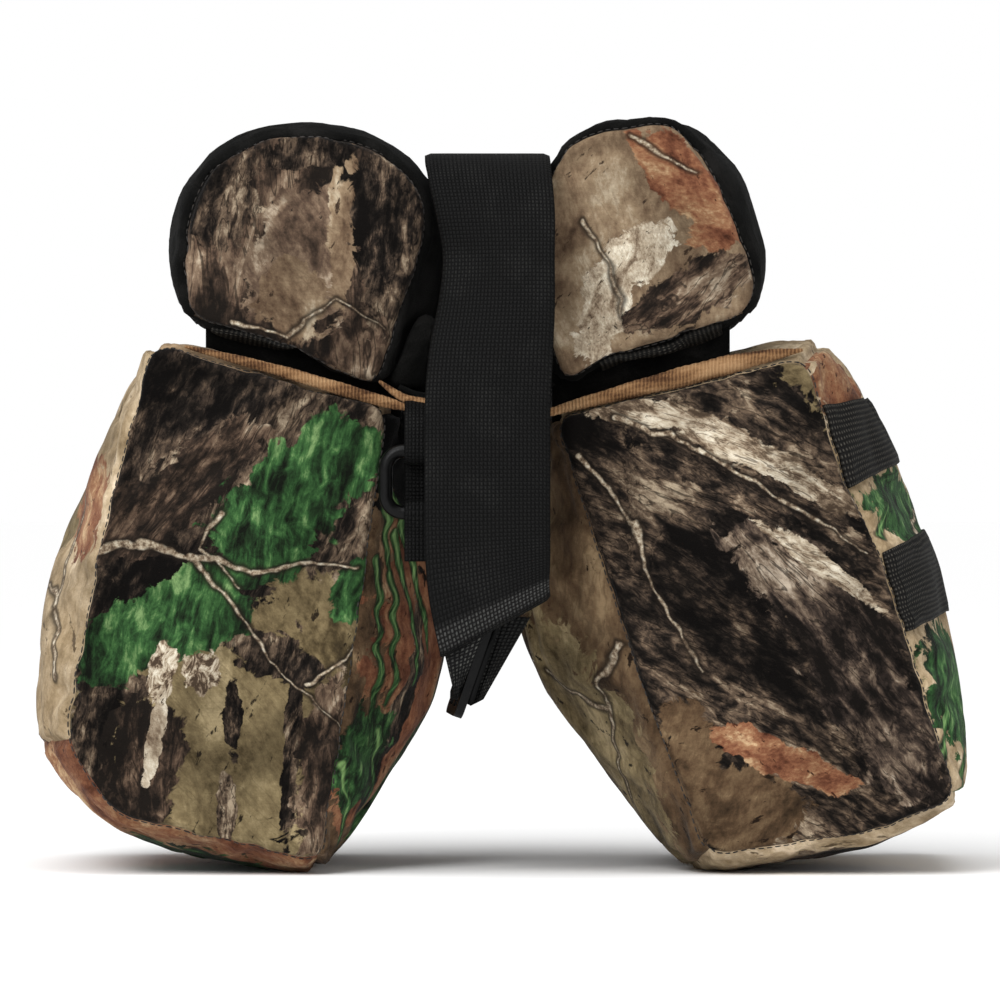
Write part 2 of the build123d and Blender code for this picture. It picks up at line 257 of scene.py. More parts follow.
def streaks(n, place, lines):
    """Distance outside the nearest of several bent twigs or blades."""
    nearest = None
    for half, *points in lines:
        for k, (a, b) in enumerate(zip(points, points[1:])):
            value = grouped(n, STREAK, {
                "Place": place, "A": (*a, 0), "B": (*b, 0), "Half": half * 0.7 ** k
            })
            nearest = value if nearest is None else n.math("MINIMUM", nearest, value)
    return nearest


def blobs(n, place, spots):
    nearest = None
    for u, v, ru, rv, degrees in spots:
        value = grouped(n, BLOB, {
            "Place": place, "Centre": (u, v, 0), "Radii": (ru, rv, 1.0),
            "Angle": math.radians(-degrees),
        })
        nearest = value if nearest is None else n.math("MAXIMUM", nearest, value)
    return nearest


def surface(n, colour, height, bump, rough, specular):
    """The shader's colour, relief, roughness and gloss; returns it for anything more."""
    normal = n.make("Bump", {"Height": height, "Distance": bump, "Strength": 1.0}).outputs[0]
    shader = n.tree.nodes["Principled BSDF"]
    put(n.tree, shader.inputs["Base Color"], colour)
    put(n.tree, shader.inputs["Normal"], normal)
    put(n.tree, shader.inputs["Roughness"], rough)
    shader.inputs["Specular IOR Level"].default_value = specular
    return shader


def cloth_shader(n, colour, height, sheen, bump):
    """The brushed face that the printed and the black cloth share."""
    shader = surface(n, colour, height, bump, 0.88, 0.05)
    shader.inputs["Sheen Weight"].default_value = sheen
    shader.inputs["Sheen Roughness"].default_value = 0.4


def new_material(name):
    made = bpy.data.materials.new(name)
    made.use_nodes = True
    return made, Nodes(made.node_tree)


def place_mm(n, axes):
    """Object coordinates in millimetres, with the chosen two axes as the print's plane."""
    where = n.make("TexCoord", {}).outputs["Object"]
    split = n.make("SeparateXYZ", {0: n.scale(where, 1000.0)})
    order = {"x": 0, "y": 1, "z": 2}
    rest = "xyz".replace(axes[0], "").replace(axes[1], "")
    parts = [split.outputs[order[a]] for a in (axes[0], axes[1], rest)]
    return n.make("CombineXYZ", {0: parts[0], 1: parts[1], 2: parts[2]}).outputs[0]


# ---- the printed cloth --------------------------------------------------------------
# Colours, 0-255, darkest first: those of the print, and NIGHT for one near-black patch.
BARK_DARK = ((10, 8, 7), (25, 21, 18), (52, 43, 36), (92, 77, 63), (158, 142, 120))
BARK_MID = ((24, 20, 17), (50, 40, 33), (82, 66, 54), (114, 96, 79), (172, 157, 136))
BARK_GREY = ((18, 15, 13), (42, 35, 31), (74, 62, 53), (112, 97, 82), (172, 158, 140))
LEAF_OLIVE = ((34, 28, 20), (66, 56, 38), (98, 85, 61), (118, 104, 76), (150, 134, 102))
LEAF_TAN = ((84, 70, 52), (122, 104, 78), (150, 131, 103), (174, 155, 127), (208, 190, 164))
BLADE_RIB = (150, 190, 118)
# NIGHT is near-black, used only for one patch at the top front of the left leg's inner gusset,
# behind the ring.
NIGHT = ((2, 2, 2), (4, 4, 4), (7, 6, 6), (11, 10, 9), (17, 15, 13))
LEAF_HEM = ((92, 74, 55), (122, 101, 77), (144, 121, 94), (158, 135, 107), (178, 156, 128))
LEAF_BROWN = ((32, 23, 16), (58, 45, 32), (80, 62, 45), (100, 81, 60), (128, 108, 82))
LEAF_ROLL = ((52, 40, 31), (84, 67, 52), (108, 90, 71), (128, 110, 88), (160, 146, 124))
GREEN = ((14, 18, 12), (26, 42, 24), (38, 66, 36), (56, 90, 50), (112, 140, 90))
RUST = ((56, 32, 22), (92, 56, 40), (118, 78, 56), (140, 104, 76), (176, 148, 114))
TWIG = ((66, 54, 43), (112, 96, 79), (150, 136, 116), (178, 166, 146), (206, 198, 180))


def bark(n, place, colours, degrees, size):
    """Long furrows of bark with dark cracks."""
    grain = n.turned(place, degrees, 3.2)
    broad = n.noise(grain, size, 6.0, 0.64, 1.1)
    fine = n.noise(n.turned(place, degrees, 1.8), size * 0.3, 5.0, 0.66, 0.5)
    level = n.math("MULTIPLY_ADD", fine, 0.42, n.math("MULTIPLY", broad, 0.66))
    patch = n.noise(n.turned(place, degrees, 1.8), size * 3.2, 3.0, 0.6, 0.5)
    level = n.math("MULTIPLY_ADD", n.math("SUBTRACT", patch, 0.52), 0.75, level)
    tone = n.ramp(level, list(zip((0.42, 0.50, 0.56, 0.63, 0.74), colours)))
    crack = n.noise(n.turned(place, degrees + 8, 7.0), size * 0.5, 3.0, 0.5, 1.2)
    line = n.step(n.math("ABSOLUTE", n.math("SUBTRACT", crack, 0.5)), 0.03, 0.008)
    return n.mix(n.math("MULTIPLY", line, 0.7), tone, linear(colours[0]))


def leafy(n, place, colours, degrees, size):
    """Soft dead-leaf tones with veins and small dark flecks."""
    broad = n.noise(n.turned(place, degrees, 1.7), size, 4.0, 0.55, 0.7)
    fine = n.noise(n.turned(place, degrees + 30, 1.6), size * 0.13, 4.0, 0.66)
    level = n.math("MULTIPLY_ADD", fine, 0.34, n.math("MULTIPLY", broad, 0.76))
    tone = n.ramp(level, list(zip((0.36, 0.45, 0.53, 0.61, 0.70), colours)))
    vein = n.noise(n.turned(place, degrees + 50, 6.0), size * 0.35, 2.0, 0.5, 0.8)
    line = n.step(n.math("ABSOLUTE", n.math("SUBTRACT", vein, 0.5)), 0.03, 0.002)
    tone = n.mix(n.math("MULTIPLY", line, 0.28), tone, linear(colours[1]))
    fleck = n.noise(n.turned(place, degrees - 20, 2.6), size * 0.22, 4.0, 0.65)
    return n.mix(n.step(fleck, 0.62, 0.67), tone, linear(colours[0]))


def needles(n, place, colours, degrees, size):
    """Green leaf sprays, streaked along their blades and mottled with shadow."""
    wobble = n.scale(n.noise(place, 26.0, 2.0, 0.5, 0.0, "Color"), size * 0.6)
    bent = n.vector("ADD", place, wobble)
    blade = n.noise(n.turned(bent, degrees, 6.0), size * 0.36, 4.0, 0.62, 0.3)
    mottle = n.noise(n.turned(bent, degrees, 1.7), size * 0.5, 5.0, 0.66, 0.6)
    level = n.math("MULTIPLY_ADD", mottle, 0.5, n.math("MULTIPLY", blade, 0.5))
    broad = n.noise(place, size * 2.4, 2.0)
    level = n.math("MULTIPLY_ADD", n.math("SUBTRACT", broad, 0.5), 0.4, level)
    return n.ramp(level, list(zip((0.38, 0.45, 0.51, 0.57, 0.66), colours)))


def specks(n, place, colours, degrees, size):
    """Pale lichen, broken into grains over bark."""
    grain = n.noise(n.turned(place, degrees, 1.5), size, 4.0, 0.7, 0.8)
    return n.ramp(grain, list(zip((0.44, 0.49, 0.53, 0.58, 0.66), colours)))


PATTERNS = {"bark": bark, "leafy": leafy, "needles": needles, "specks": specks}


def camo(name, axes, base, layers=(), twigs=(), blades=()):
    """Printed cloth: a base pattern, patches of other patterns, then twigs and blades.

    base is (pattern, colours, degrees, size); a layer is the same and then its spots, each
    (u, v, half width, half height, degrees) in millimetres in the print's plane.
    """
    made, n = new_material(name)
    place = place_mm(n, axes)
    flat = n.vector("MULTIPLY", place, (1, 1, 0))
    ragged = n.noise(place, 9.0, 5.0, 0.62, 0.6)
    rough_edge = n.math("MULTIPLY", n.math("SUBTRACT", ragged, 0.5), 1.7)
    pattern, *rest = base
    colour = PATTERNS[pattern](n, place, *rest)
    for pattern, colours, degrees, size, spots in layers:
        inside = n.math("ADD", blobs(n, flat, spots), rough_edge)
        colour = n.mix(n.step(inside, -0.03, 0.07), colour,
                       PATTERNS[pattern](n, place, colours, degrees, size))
    drift = n.vector("SUBTRACT", n.noise(place, 12.0, 2.0, 0.5, 0.0, "Color"), (0.5, 0.5, 0.5))
    bent = n.vector("ADD", flat, n.vector("MULTIPLY", drift, (7.0, 7.0, 0.0)))
    if blades:
        bowed = n.vector("ADD", flat, n.vector("MULTIPLY", drift, (2.4, 2.4, 0.0)))
        gap = streaks(n, bowed, blades)
        grain = n.noise(n.turned(bowed, 78, 8.0), 1.7, 3.0, 0.6)
        tone = n.ramp(grain, list(zip((0.3, 0.42, 0.5, 0.58, 0.7), GREEN)))
        tone = n.mix(n.math("MULTIPLY", n.step(gap, -0.5, -1.7), grain), tone, linear(BLADE_RIB))
        colour = n.mix(n.math("MULTIPLY", n.step(gap, 0.8, 0.2), 0.7), colour, linear((24, 26, 17)))
        colour = n.mix(n.step(gap, 0.25, -0.25), colour, tone)
    if twigs:
        gap = n.math("ADD", streaks(n, bent, twigs), n.math("MULTIPLY", rough_edge, 0.25))
        tone = n.ramp(n.noise(place, 2.2, 4.0, 0.7),
                      list(zip((0.34, 0.44, 0.52, 0.6, 0.7), TWIG)))
        colour = n.mix(n.math("MULTIPLY", n.step(gap, 1.6, 0.2), 0.8), colour, linear((26, 21, 17)))
        colour = n.mix(n.step(gap, 0.3, -0.5), colour, tone)
    nap = n.noise(place, 0.45, 3.0, 0.7)
    mottle = n.noise(place, 1.6, 2.0, 0.5)
    cloud = n.noise(place, 34.0, 2.0, 0.5)
    rib = n.noise(n.turned(place, 0, 8.0), 0.9, 2.0, 0.6)
    shade = n.math("MULTIPLY_ADD", n.math("SUBTRACT", nap, 0.5), 0.45, 1.0)
    shade = n.math("MULTIPLY_ADD", n.math("SUBTRACT", rib, 0.5), 0.3, shade)
    shade = n.math("MULTIPLY_ADD", n.math("SUBTRACT", cloud, 0.5), 1.5, shade)
    colour = n.mix(1.0, colour, shade, "MULTIPLY")
    height = n.math("ADD", n.math("MULTIPLY_ADD", rib, 0.8, nap), n.math("MULTIPLY", mottle, 0.6))
    cloth_shader(n, colour, height, 0.06, 0.00022)
    return made


def hem_cloth(name, tones):
    """Printed cloth rolled into an edge: its ribs run around the roll."""
    made, n = new_material(name)
    place = place_mm(n, "xz")
    across = n.make("SeparateXYZ", {0: place}).outputs[0]
    wander = n.noise(place, 3.0, 2.0, 0.5)
    turn = n.math("MULTIPLY_ADD", wander, 5.0, n.math("MULTIPLY", across, 2 * math.pi / 1.1))
    rib = n.math("MULTIPLY_ADD", n.math("SINE", turn), 0.5, 0.5)
    nap = n.noise(place, 0.6, 3.0, 0.7)
    print_tone = n.noise(n.turned(place, 8, 5.0), 5.0, 3.0, 0.6)
    level = n.math("MULTIPLY_ADD", rib, 0.1, n.math("MULTIPLY_ADD", print_tone, 0.9,
                                                   n.math("MULTIPLY", nap, 0.2)))
    colour = n.ramp(level, list(zip((0.35, 0.5, 0.62, 0.8), tones)))
    cloth_shader(n, colour, n.math("ADD", rib, nap), 0.03, 0.00025)
    return made


def suede(name, tones, size):
    """Black napped cloth with brushed patches."""
    made, n = new_material(name)
    place = place_mm(n, "xz")
    nap = n.noise(place, 0.5, 3.0, 0.7)
    brushed = n.noise(place, size, 3.0, 0.6, 0.5)
    level = n.math("MULTIPLY_ADD", nap, 0.35, n.math("MULTIPLY", brushed, 0.65))
    colour = n.ramp(level, list(zip((0.35, 0.5, 0.66), tones)))
    cloth_shader(n, colour, nap, 0.012, 0.0003)
    return made


WEAVE_PITCH = 1.2           # millimetres
WEAVE_RELIEF = 0.4 * MM
WEB_TONES = ((1, 1, 1), (4, 4, 4), (15, 15, 14))
# A brighter copy of the webbing's tones for the fans beside the slide: painted light.
FAN_LIT_TONES = ((1, 1, 1), (10, 10, 10), (40, 40, 38))


def webbing(name, tones, fold=None):
    """Basket-woven webbing: each cell shows a warp pair or a weft pair, row by row offset.

    fold is where along the strap, in millimetres, a pale band of painted highlight lies across its
    lower fold.
    """
    made, n = new_material(name)
    where = n.make("UVMap", {}, uv_map="weave").outputs[0]
    split = n.make("SeparateXYZ", {0: n.scale(where, 1.0 / WEAVE_PITCH)})
    across, along = split.outputs[0], split.outputs[1]
    cell_a = n.math("FLOOR", across)
    cell_b = n.math("FLOOR", along)
    part_a = n.math("FRACT", across)
    part_b = n.math("FRACT", along)
    odd = n.math("MODULO", n.math("ADD", cell_a, cell_b), 2.0)
    odd = n.math("ABSOLUTE", odd)
    arch_a = n.math("SINE", n.math("MULTIPLY", part_a, math.pi))
    arch_b = n.math("SINE", n.math("MULTIPLY", part_b, math.pi))
    warp = n.math("MULTIPLY", n.math("POWER", arch_a, 0.8), n.math("POWER", arch_b, 0.35))
    weft = n.math("MULTIPLY", n.math("POWER", arch_b, 0.8), n.math("POWER", arch_a, 0.35))
    weft = n.math("MULTIPLY", weft, 0.8)
    height = n.make("Mix", {0: odd, 2: weft, 3: warp}, data_type="FLOAT").outputs[0]
    place = place_mm(n, "xz")
    thread = n.noise(place, 0.35, 3.0, 0.7)
    level = n.math("MULTIPLY_ADD", thread, 0.35, n.math("MULTIPLY", height, 0.6))
    # Painted sheen: in random patches the weave is drawn in a brighter copy of its own tones.
    sheen_patch = n.step(n.noise(place, 16.0, 3.0, 0.6), 0.46, 0.66)
    sheen_tones = [tuple(min(255, 2.3 * c) for c in tone) for tone in tones]
    colour = n.mix(sheen_patch, n.ramp(level, list(zip((0.1, 0.5, 0.85), tones))),
                   n.ramp(level, list(zip((0.1, 0.55, 0.85), sheen_tones))))
    # Painted highlight: the weave turns pale in a band across the lower fold.
    if fold:
        run = n.make("SeparateXYZ", {0: where}).outputs[1]
        near = n.math("ABSOLUTE", n.math("SUBTRACT", run, fold))
        fold_highlight = n.ramp(level, [(0.1, (3, 3, 3)), (0.5, (22, 22, 21)), (0.85, (78, 78, 76))])
        colour = n.mix(n.step(near, 4.2, 1.6), colour, fold_highlight)
    surface(n, colour, n.math("MULTIPLY_ADD", thread, 0.12, height), WEAVE_RELIEF, 0.6, 0.1)
    return made


def hook_tape(name):
    """The hook side of hook-and-loop tape: close rows of tiny hooks on a woven ground."""
    made, n = new_material(name)
    where = n.make("UVMap", {}, uv_map="weave").outputs[0]
    split = n.make("SeparateXYZ", {0: where})
    row = n.math("SINE", n.math("MULTIPLY", split.outputs[0], 2 * math.pi / 1.5))
    hook = n.math("SINE", n.math("MULTIPLY", split.outputs[1], 2 * math.pi / 1.2))
    height = n.math("MULTIPLY", n.math("ADD", row, 1.0), n.math("ADD", hook, 1.0))
    speck = n.noise(place_mm(n, "xz"), 0.6, 3.0, 0.7)
    level = n.math("MULTIPLY_ADD", height, 0.14, n.math("MULTIPLY", speck, 0.5))
    colour = n.ramp(level, [(0.2, (5, 5, 5)), (0.45, (22, 21, 19)), (0.8, (72, 69, 63))])
    surface(n, colour, level, 0.7 * MM, 0.7, 0.12)
    return made


def plastic(name):
    """Moulded black acetal, a little scuffed in random patches."""
    made, n = new_material(name)
    place = place_mm(n, "xz")
    grain = n.noise(place, 0.5, 3.0, 0.6)
    wear = n.noise(place, 5.0, 4.0, 0.6)
    colour = n.ramp(wear, [(0.35, (2, 2, 2)), (0.6, (5, 5, 5)), (0.8, (12, 12, 11))])
    rough = n.make("MapRange", {"Value": wear, "To Min": 0.24, "To Max": 0.46}).outputs[0]
    surface(n, colour, grain, 0.06 * MM, rough, 0.14)
    return made


def thread_material(name, dark, light):
    made, n = new_material(name)
    twist = n.noise(n.turned(place_mm(n, "xz"), 35, 3.0), 0.4, 2.0)
    colour = n.ramp(twist, [(0.4, dark), (0.65, light)])
    shader = n.tree.nodes["Principled BSDF"]
    put(n.tree, shader.inputs["Base Color"], colour)
    normal = n.make("Bump", {"Height": twist, "Distance": 0.0001, "Strength": 1.0}).outputs[0]
    put(n.tree, shader.inputs["Normal"], normal)
    shader.inputs["Roughness"].default_value = 0.6
    return made


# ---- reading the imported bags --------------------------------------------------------
CLOTH = 1.6 * MM


def node_points(name):
    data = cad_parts[name].data
    co = np.empty(len(data.vertices) * 3)
    data.vertices.foreach_get("co", co)
    return np.unique(np.round(co.reshape(-1, 3), 6), axis=0)


def tree_of(mesh):
    return BVHTree.FromPolygons(
        [v.co for v in mesh.vertices], [list(p.vertices) for p in mesh.polygons]
    )


def stations(points):
    """The depths at which a node's points lie."""
    ys = np.sort(points[:, 1])
    keep = np.append(True, np.diff(ys) > 0.001)
    return ys[keep]


def outer_line(points, fill, y, centre):
    """A gusset's outer points at depth y, in order round the bag."""
    near = points[np.abs(points[:, 1] - y) < 0.0005]
    outer = np.array([p for p in near if fill.find_nearest(Vector(p))[3] > 0.6 * CLOTH])
    outer = outer[:, [0, 2]]
    angles = np.arctan2(outer[:, 1] - centre[1], outer[:, 0] - centre[0])
    order = np.argsort(angles)
    gaps = np.diff(np.append(angles[order], angles[order][0] + 2 * math.pi))
    start = (int(np.argmax(gaps)) + 1) % len(order)
    return outer[np.roll(order, -start)]


def resample(line, count):
    """count + 1 points spread evenly along a line."""
    steps = np.linalg.norm(np.diff(line, axis=0), axis=1)
    run = np.append(0.0, np.cumsum(steps))
    at = np.linspace(0.0, run[-1], count + 1)
    return np.column_stack([np.interp(at, run, line[:, k]) for k in range(line.shape[1])])


def read_tube(fill, gussets, columns, pitch):
    """Rows of points round a bag, from its front seam to its back seam."""
    tree = tree_of(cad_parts[fill].data)
    clouds = [node_points(g) for g in gussets]
    middle = node_points(fill).mean(0)
    ys = stations(clouds[0])
    rings = []
    for y in ys:
        ring = []
        for cloud, count in zip(clouds, columns):
            line = outer_line(cloud, tree, y, middle[[0, 2]])
            ring.append(resample(line, count)[:-1])
        rings.append(np.concatenate(ring))
    rings = np.array(rings)
    rows = int(round((ys[-1] - ys[0]) / pitch))
    at = np.linspace(ys[0], ys[-1], rows + 1)
    tube = np.empty((rows + 1, rings.shape[1], 3))
    for k in (0, 1):
        for c in range(rings.shape[1]):
            tube[:, c, 2 * k] = np.interp(at, ys, rings[:, c, k])
    tube[:, :, 1] = at[:, None]
    for _ in range(12):
        tube[1:-1] = 0.5 * tube[1:-1] + 0.25 * (tube[:-2] + tube[2:])
    for _ in range(3):
        tube = 0.5 * tube + 0.25 * (np.roll(tube, 1, 1) + np.roll(tube, -1, 1))
    return tube


def end_patch(loop, sides, crown):
    """A grid of points over an end panel, swelling by crown, from the closed loop round it."""
    na, nb = sides
    low = loop[:na + 1]
    right = loop[na:na + nb + 1]
    high = loop[na + nb:2 * na + nb + 1][::-1]
    left = np.append(loop[2 * na + nb:], loop[:1], axis=0)[::-1]
    s = np.linspace(0, 1, na + 1)[None, :, None]
    t = np.linspace(0, 1, nb + 1)[:, None, None]
    grid = (1 - t) * low[None] + t * high[None] + (1 - s) * left[:, None] + s * right[:, None]
    grid = grid - (1 - s) * (1 - t) * low[0] - s * (1 - t) * low[-1]
    grid = grid - (1 - s) * t * high[0] - s * t * high[-1]
    swell = (16 * s * (1 - s) * t * (1 - t)) ** 0.5
    grid[:, :, 1:2] += crown * swell
    return grid


def new_object(name, verts, faces, materials, marks=None):
    mesh = bpy.data.meshes.new(name)
    mesh.from_pydata([tuple(v) for v in verts], [], faces)
    for made in materials:
        mesh.materials.append(made)
    if marks is not None:
        mesh.polygons.foreach_set("material_index", marks)
    mesh.polygons.foreach_set("use_smooth", [True] * len(faces))
    piece = bpy.data.objects.new(name, mesh)
    bpy.context.scene.collection.objects.link(piece)
    return piece


def coords(piece):
    co = np.empty(len(piece.data.vertices) * 3)
    piece.data.vertices.foreach_get("co", co)
    return co.reshape(-1, 3)


def set_coords(piece, co):
    piece.data.vertices.foreach_set("co", np.ascontiguousarray(co).ravel())
    piece.data.update()


def normals(piece):
    piece.data.update()
    out = np.empty(len(piece.data.vertices) * 3)
    piece.data.vertex_normals.foreach_get("vector", out)
    return out.reshape(-1, 3)


def bag_mesh(name, tube, columns, sides, crown, materials):
    """One closed quad mesh. Material 0, 1, ... round the tube, then the front, then the back."""
    rows, cols = tube.shape[:2]
    verts = [tuple(p) for p in tube.reshape(-1, 3)]
    faces = []
    marks = []
    starts = np.cumsum([0, *columns])
    for r in range(rows - 1):
        for c in range(cols):
            n = (c + 1) % cols
            faces.append((r * cols + c, (r + 1) * cols + c, (r + 1) * cols + n, r * cols + n))
            marks.append(int(np.searchsorted(starts, c, side="right")) - 1)
    na, nb = sides
    for end, row in ((-1, 0), (1, rows - 1)):
        grid = end_patch(tube[row], sides, end * crown)
        index = np.full((nb + 1, na + 1), -1)
        first = row * cols
        for k in range(cols):
            if k <= na:
                spot = (0, k)
            elif k <= na + nb:
                spot = (k - na, na)
            elif k <= 2 * na + nb:
                spot = (nb, 2 * na + nb - k)
            else:
                spot = (cols - k, 0)
            index[spot] = first + k
        for j in range(1, nb):
            for i in range(1, na):
                index[j, i] = len(verts)
                verts.append(tuple(grid[j, i]))
        for j in range(nb):
            for i in range(na):
                quad = (index[j, i], index[j, i + 1], index[j + 1, i + 1], index[j + 1, i])
                faces.append(tuple(int(q) for q in (quad if end < 0 else quad[::-1])))
                marks.append(len(columns) + (0 if end < 0 else 1))
    return new_object(name, verts, faces, materials, marks)


def neighbours(piece):
    """Edge list of a mesh, for smoothing values over it."""
    edges = np.empty(len(piece.data.edges) * 2, dtype=np.int64)
    piece.data.edges.foreach_get("vertices", edges)
    return edges.reshape(-1, 2)


def smoothed(values, edges, passes):
    count = np.zeros(len(values))
    np.add.at(count, edges.ravel(), 1)
    for _ in range(passes):
        total = np.zeros_like(values)
        np.add.at(total, edges[:, 0], values[edges[:, 1]])
        np.add.at(total, edges[:, 1], values[edges[:, 0]])
        values = 0.4 * values + 0.6 * total / count[:, None]
    return values


SIM_FRAMES = 20
CREASE_CAP = 3.0 * MM       # no fold is deeper
CREASE_GROWTH = 0.08        # how much too big the cloth is
CREASE_PRESSURE = 4.0
CREASE_GAIN = 1.6


def crease(piece, seam):
    """Cloth under pressure, a little too big for its seams: it puckers along them.

    The simulation's folds are kept, its slow swelling is not, so the bag stays its own size.
    """
    start = coords(piece)
    edges = neighbours(piece)
    held = piece.vertex_groups.new(name="seam")
    held.add([int(i) for i in seam], 1.0, "REPLACE")
    cloth = piece.modifiers.new("puff", "CLOTH")
    settings = cloth.settings
    settings.quality = 6
    settings.mass = 0.3
    settings.tension_stiffness = 20
    settings.compression_stiffness = 20
    settings.shear_stiffness = 8
    settings.bending_stiffness = 0.15
    settings.use_pressure = True
    settings.uniform_pressure_force = CREASE_PRESSURE
    settings.vertex_group_mass = "seam"
    settings.pin_stiffness = 1.0
    settings.shrink_min = -CREASE_GROWTH
    settings.effector_weights.gravity = 0.0
    cloth.point_cache.frame_start = 1
    cloth.point_cache.frame_end = SIM_FRAMES
    scene = bpy.context.scene
    for step in range(1, SIM_FRAMES + 1):
        scene.frame_set(step)
    depsgraph = bpy.context.evaluated_depsgraph_get()
    result = piece.evaluated_get(depsgraph).to_mesh()
    co = np.empty(len(result.vertices) * 3)
    result.vertices.foreach_get("co", co)
    piece.evaluated_get(depsgraph).to_mesh_clear()
    piece.modifiers.remove(cloth)
    piece.vertex_groups.remove(held)
    scene.frame_set(1)
    move = co.reshape(-1, 3) - start
    folds = (move - smoothed(move, edges, 30)) * CREASE_GAIN
    out = normals(piece)
    swelling = smoothed((folds * out).sum(1)[:, None], edges, 90)
    folds -= out * swelling
    size = np.linalg.norm(folds, axis=1, keepdims=True)
    folds *= CREASE_CAP / (CREASE_CAP + size)
    set_coords(piece, start + folds)


def subdivide(piece):
    extra = piece.modifiers.new("fine", "SUBSURF")
    extra.levels = 1
    extra.render_levels = 1
    extra.boundary_smooth = "PRESERVE_CORNERS"
    depsgraph = bpy.context.evaluated_depsgraph_get()
    fine = bpy.data.meshes.new_from_object(piece.evaluated_get(depsgraph))
    piece.modifiers.clear()
    old = piece.data
    piece.data = fine
    fine.name = piece.name
    bpy.data.meshes.remove(old)


def hash_noise(points, size, seed):
    """Smooth value noise between -1 and 1 at points (n, 3), lattice size in metres."""
    at = points / size + seed * 17.13
    low = np.floor(at).astype(np.int64)
    part = at - low
    part = part * part * (3 - 2 * part)
    total = np.zeros(len(points))
    for corner in range(8):
        offset = np.array([corner & 1, (corner >> 1) & 1, (corner >> 2) & 1])
        cell = low + offset
        key = cell[:, 0] * 73856093 ^ cell[:, 1] * 19349663 ^ cell[:, 2] * 83492791
        key = key ^ seed * 2654435761
        key = (key ^ (key >> 13)) * 1274126177 & 0x7FFFFFFF
        key = (key ^ (key >> 16)) & 0xFFFF
        weight = np.prod(np.where(offset == 1, part, 1 - part), axis=1)
        total += weight * (key / 32767.5 - 1)
    return total


def seam_lines(tube, columns):
    """The seams as lines of points: both end rings, and each corner between two gussets."""
    corners = np.cumsum([0, *columns])[:-1]
    lines = [np.append(tube[row], tube[row][:1], axis=0) for row in (0, -1)]
    lines += [tube[:, c] for c in corners]
    return lines


def relief(piece, lines, seed, amounts):
    """Sewn-in seams, the puckers that fan out from them, and soft wrinkles between."""
    groove, pucker, wrinkle = (a * MM for a in amounts)
    co = coords(piece)
    out = normals(piece)
    best = np.full(len(co), 1e9)
    foot = np.zeros_like(co)
    run = np.zeros(len(co))
    offset = 0.0
    for line in lines:
        steps = np.linalg.norm(np.diff(line, axis=0), axis=1)
        for a, b, length in zip(line[:-1], line[1:], steps):
            d = b - a
            t = np.clip(((co - a) @ d) / max(d @ d, 1e-12), 0, 1)
            near = a + t[:, None] * d
            gap = np.linalg.norm(co - near, axis=1)
            hit = gap < best
            best[hit] = gap[hit]
            foot[hit] = near[hit]
            run[hit] = offset + t[hit] * length
            offset += length
        offset += 1.0
    line_place = np.column_stack([run, np.zeros_like(run), np.zeros_like(run)])
    teeth = hash_noise(line_place, 4.5 * MM, seed)
    teeth = teeth + 0.6 * hash_noise(line_place, 9.0 * MM, seed + 5)
    reach = 9.0 * MM + 5.0 * MM * hash_noise(line_place, 13.0 * MM, seed + 9)
    fade = np.exp(-best / np.maximum(reach, 2.5 * MM)) * (1 - np.exp(-best / (1.2 * MM)))
    push = pucker * teeth * fade
    push -= groove * np.exp(-(best / (1.5 * MM)) ** 2)
    push += 0.5 * groove * np.exp(-((best - 3.2 * MM) / (2.0 * MM)) ** 2)
    calm = np.clip(best / (8 * MM), 0, 1)
    stretched = co * np.array([1.0, 0.5, 0.7])
    push += wrinkle * calm * (
        hash_noise(co, 34 * MM, seed + 1) + 0.8 * hash_noise(stretched, 16 * MM, seed + 2)
        + 0.3 * hash_noise(co, 7 * MM, seed + 3)
    )
    set_coords(piece, co + out * push[:, None])


def settle(piece, floor):
    """No cloth below the floor: what sags onto it lies flat."""
    co = coords(piece)
    co[:, 2] = np.maximum(co[:, 2], floor)
    set_coords(piece, co)


# ---- thin pieces --------------------------------------------------------------------
def slab(name, lower, upper, made):
    """A closed thin piece between two matching grids of points, with its weave map."""
    rows, cols = upper.shape[:2]
    verts = np.concatenate([upper.reshape(-1, 3), lower.reshape(-1, 3)])
    under = rows * cols
    faces = []
    for r in range(rows - 1):
        for c in range(cols - 1):
            a = r * cols + c
            faces.append((a, a + 1, a + cols + 1, a + cols))
            faces.append((under + a, under + a + cols, under + a + cols + 1, under + a + 1))
    rim = [c for c in range(cols)]
    rim += [r * cols + cols - 1 for r in range(1, rows)]
    rim += [(rows - 1) * cols + c for c in range(cols - 2, -1, -1)]
    rim += [r * cols for r in range(rows - 2, 0, -1)]
    for a, b in zip(rim, rim[1:] + rim[:1]):
        faces.append((b, a, under + a, under + b))
    piece = new_object(name, verts, faces, [made])
    mesh = piece.data
    middle = upper[:, cols // 2]
    along = np.append(0, np.cumsum(np.linalg.norm(np.diff(middle, axis=0), axis=1)))
    belt = upper[rows // 2]
    across = np.append(0, np.cumsum(np.linalg.norm(np.diff(belt, axis=0), axis=1)))
    weave = mesh.uv_layers.new(name="weave")
    index = np.empty(len(mesh.loops), dtype=np.int64)
    mesh.loops.foreach_get("vertex_index", index)
    index = index % under
    uv = np.column_stack([across[index % cols], along[index // cols]]) / MM
    weave.data.foreach_set("uv", uv.ravel())
    face_out(piece)
    return piece


def face_out(piece):
    """Turns a closed mesh's faces outward if they all face in."""
    mesh = piece.data
    volume = 0.0
    for polygon in mesh.polygons:
        volume += polygon.area * polygon.normal.dot(polygon.center)
    if volume < 0:
        mesh.flip_normals()


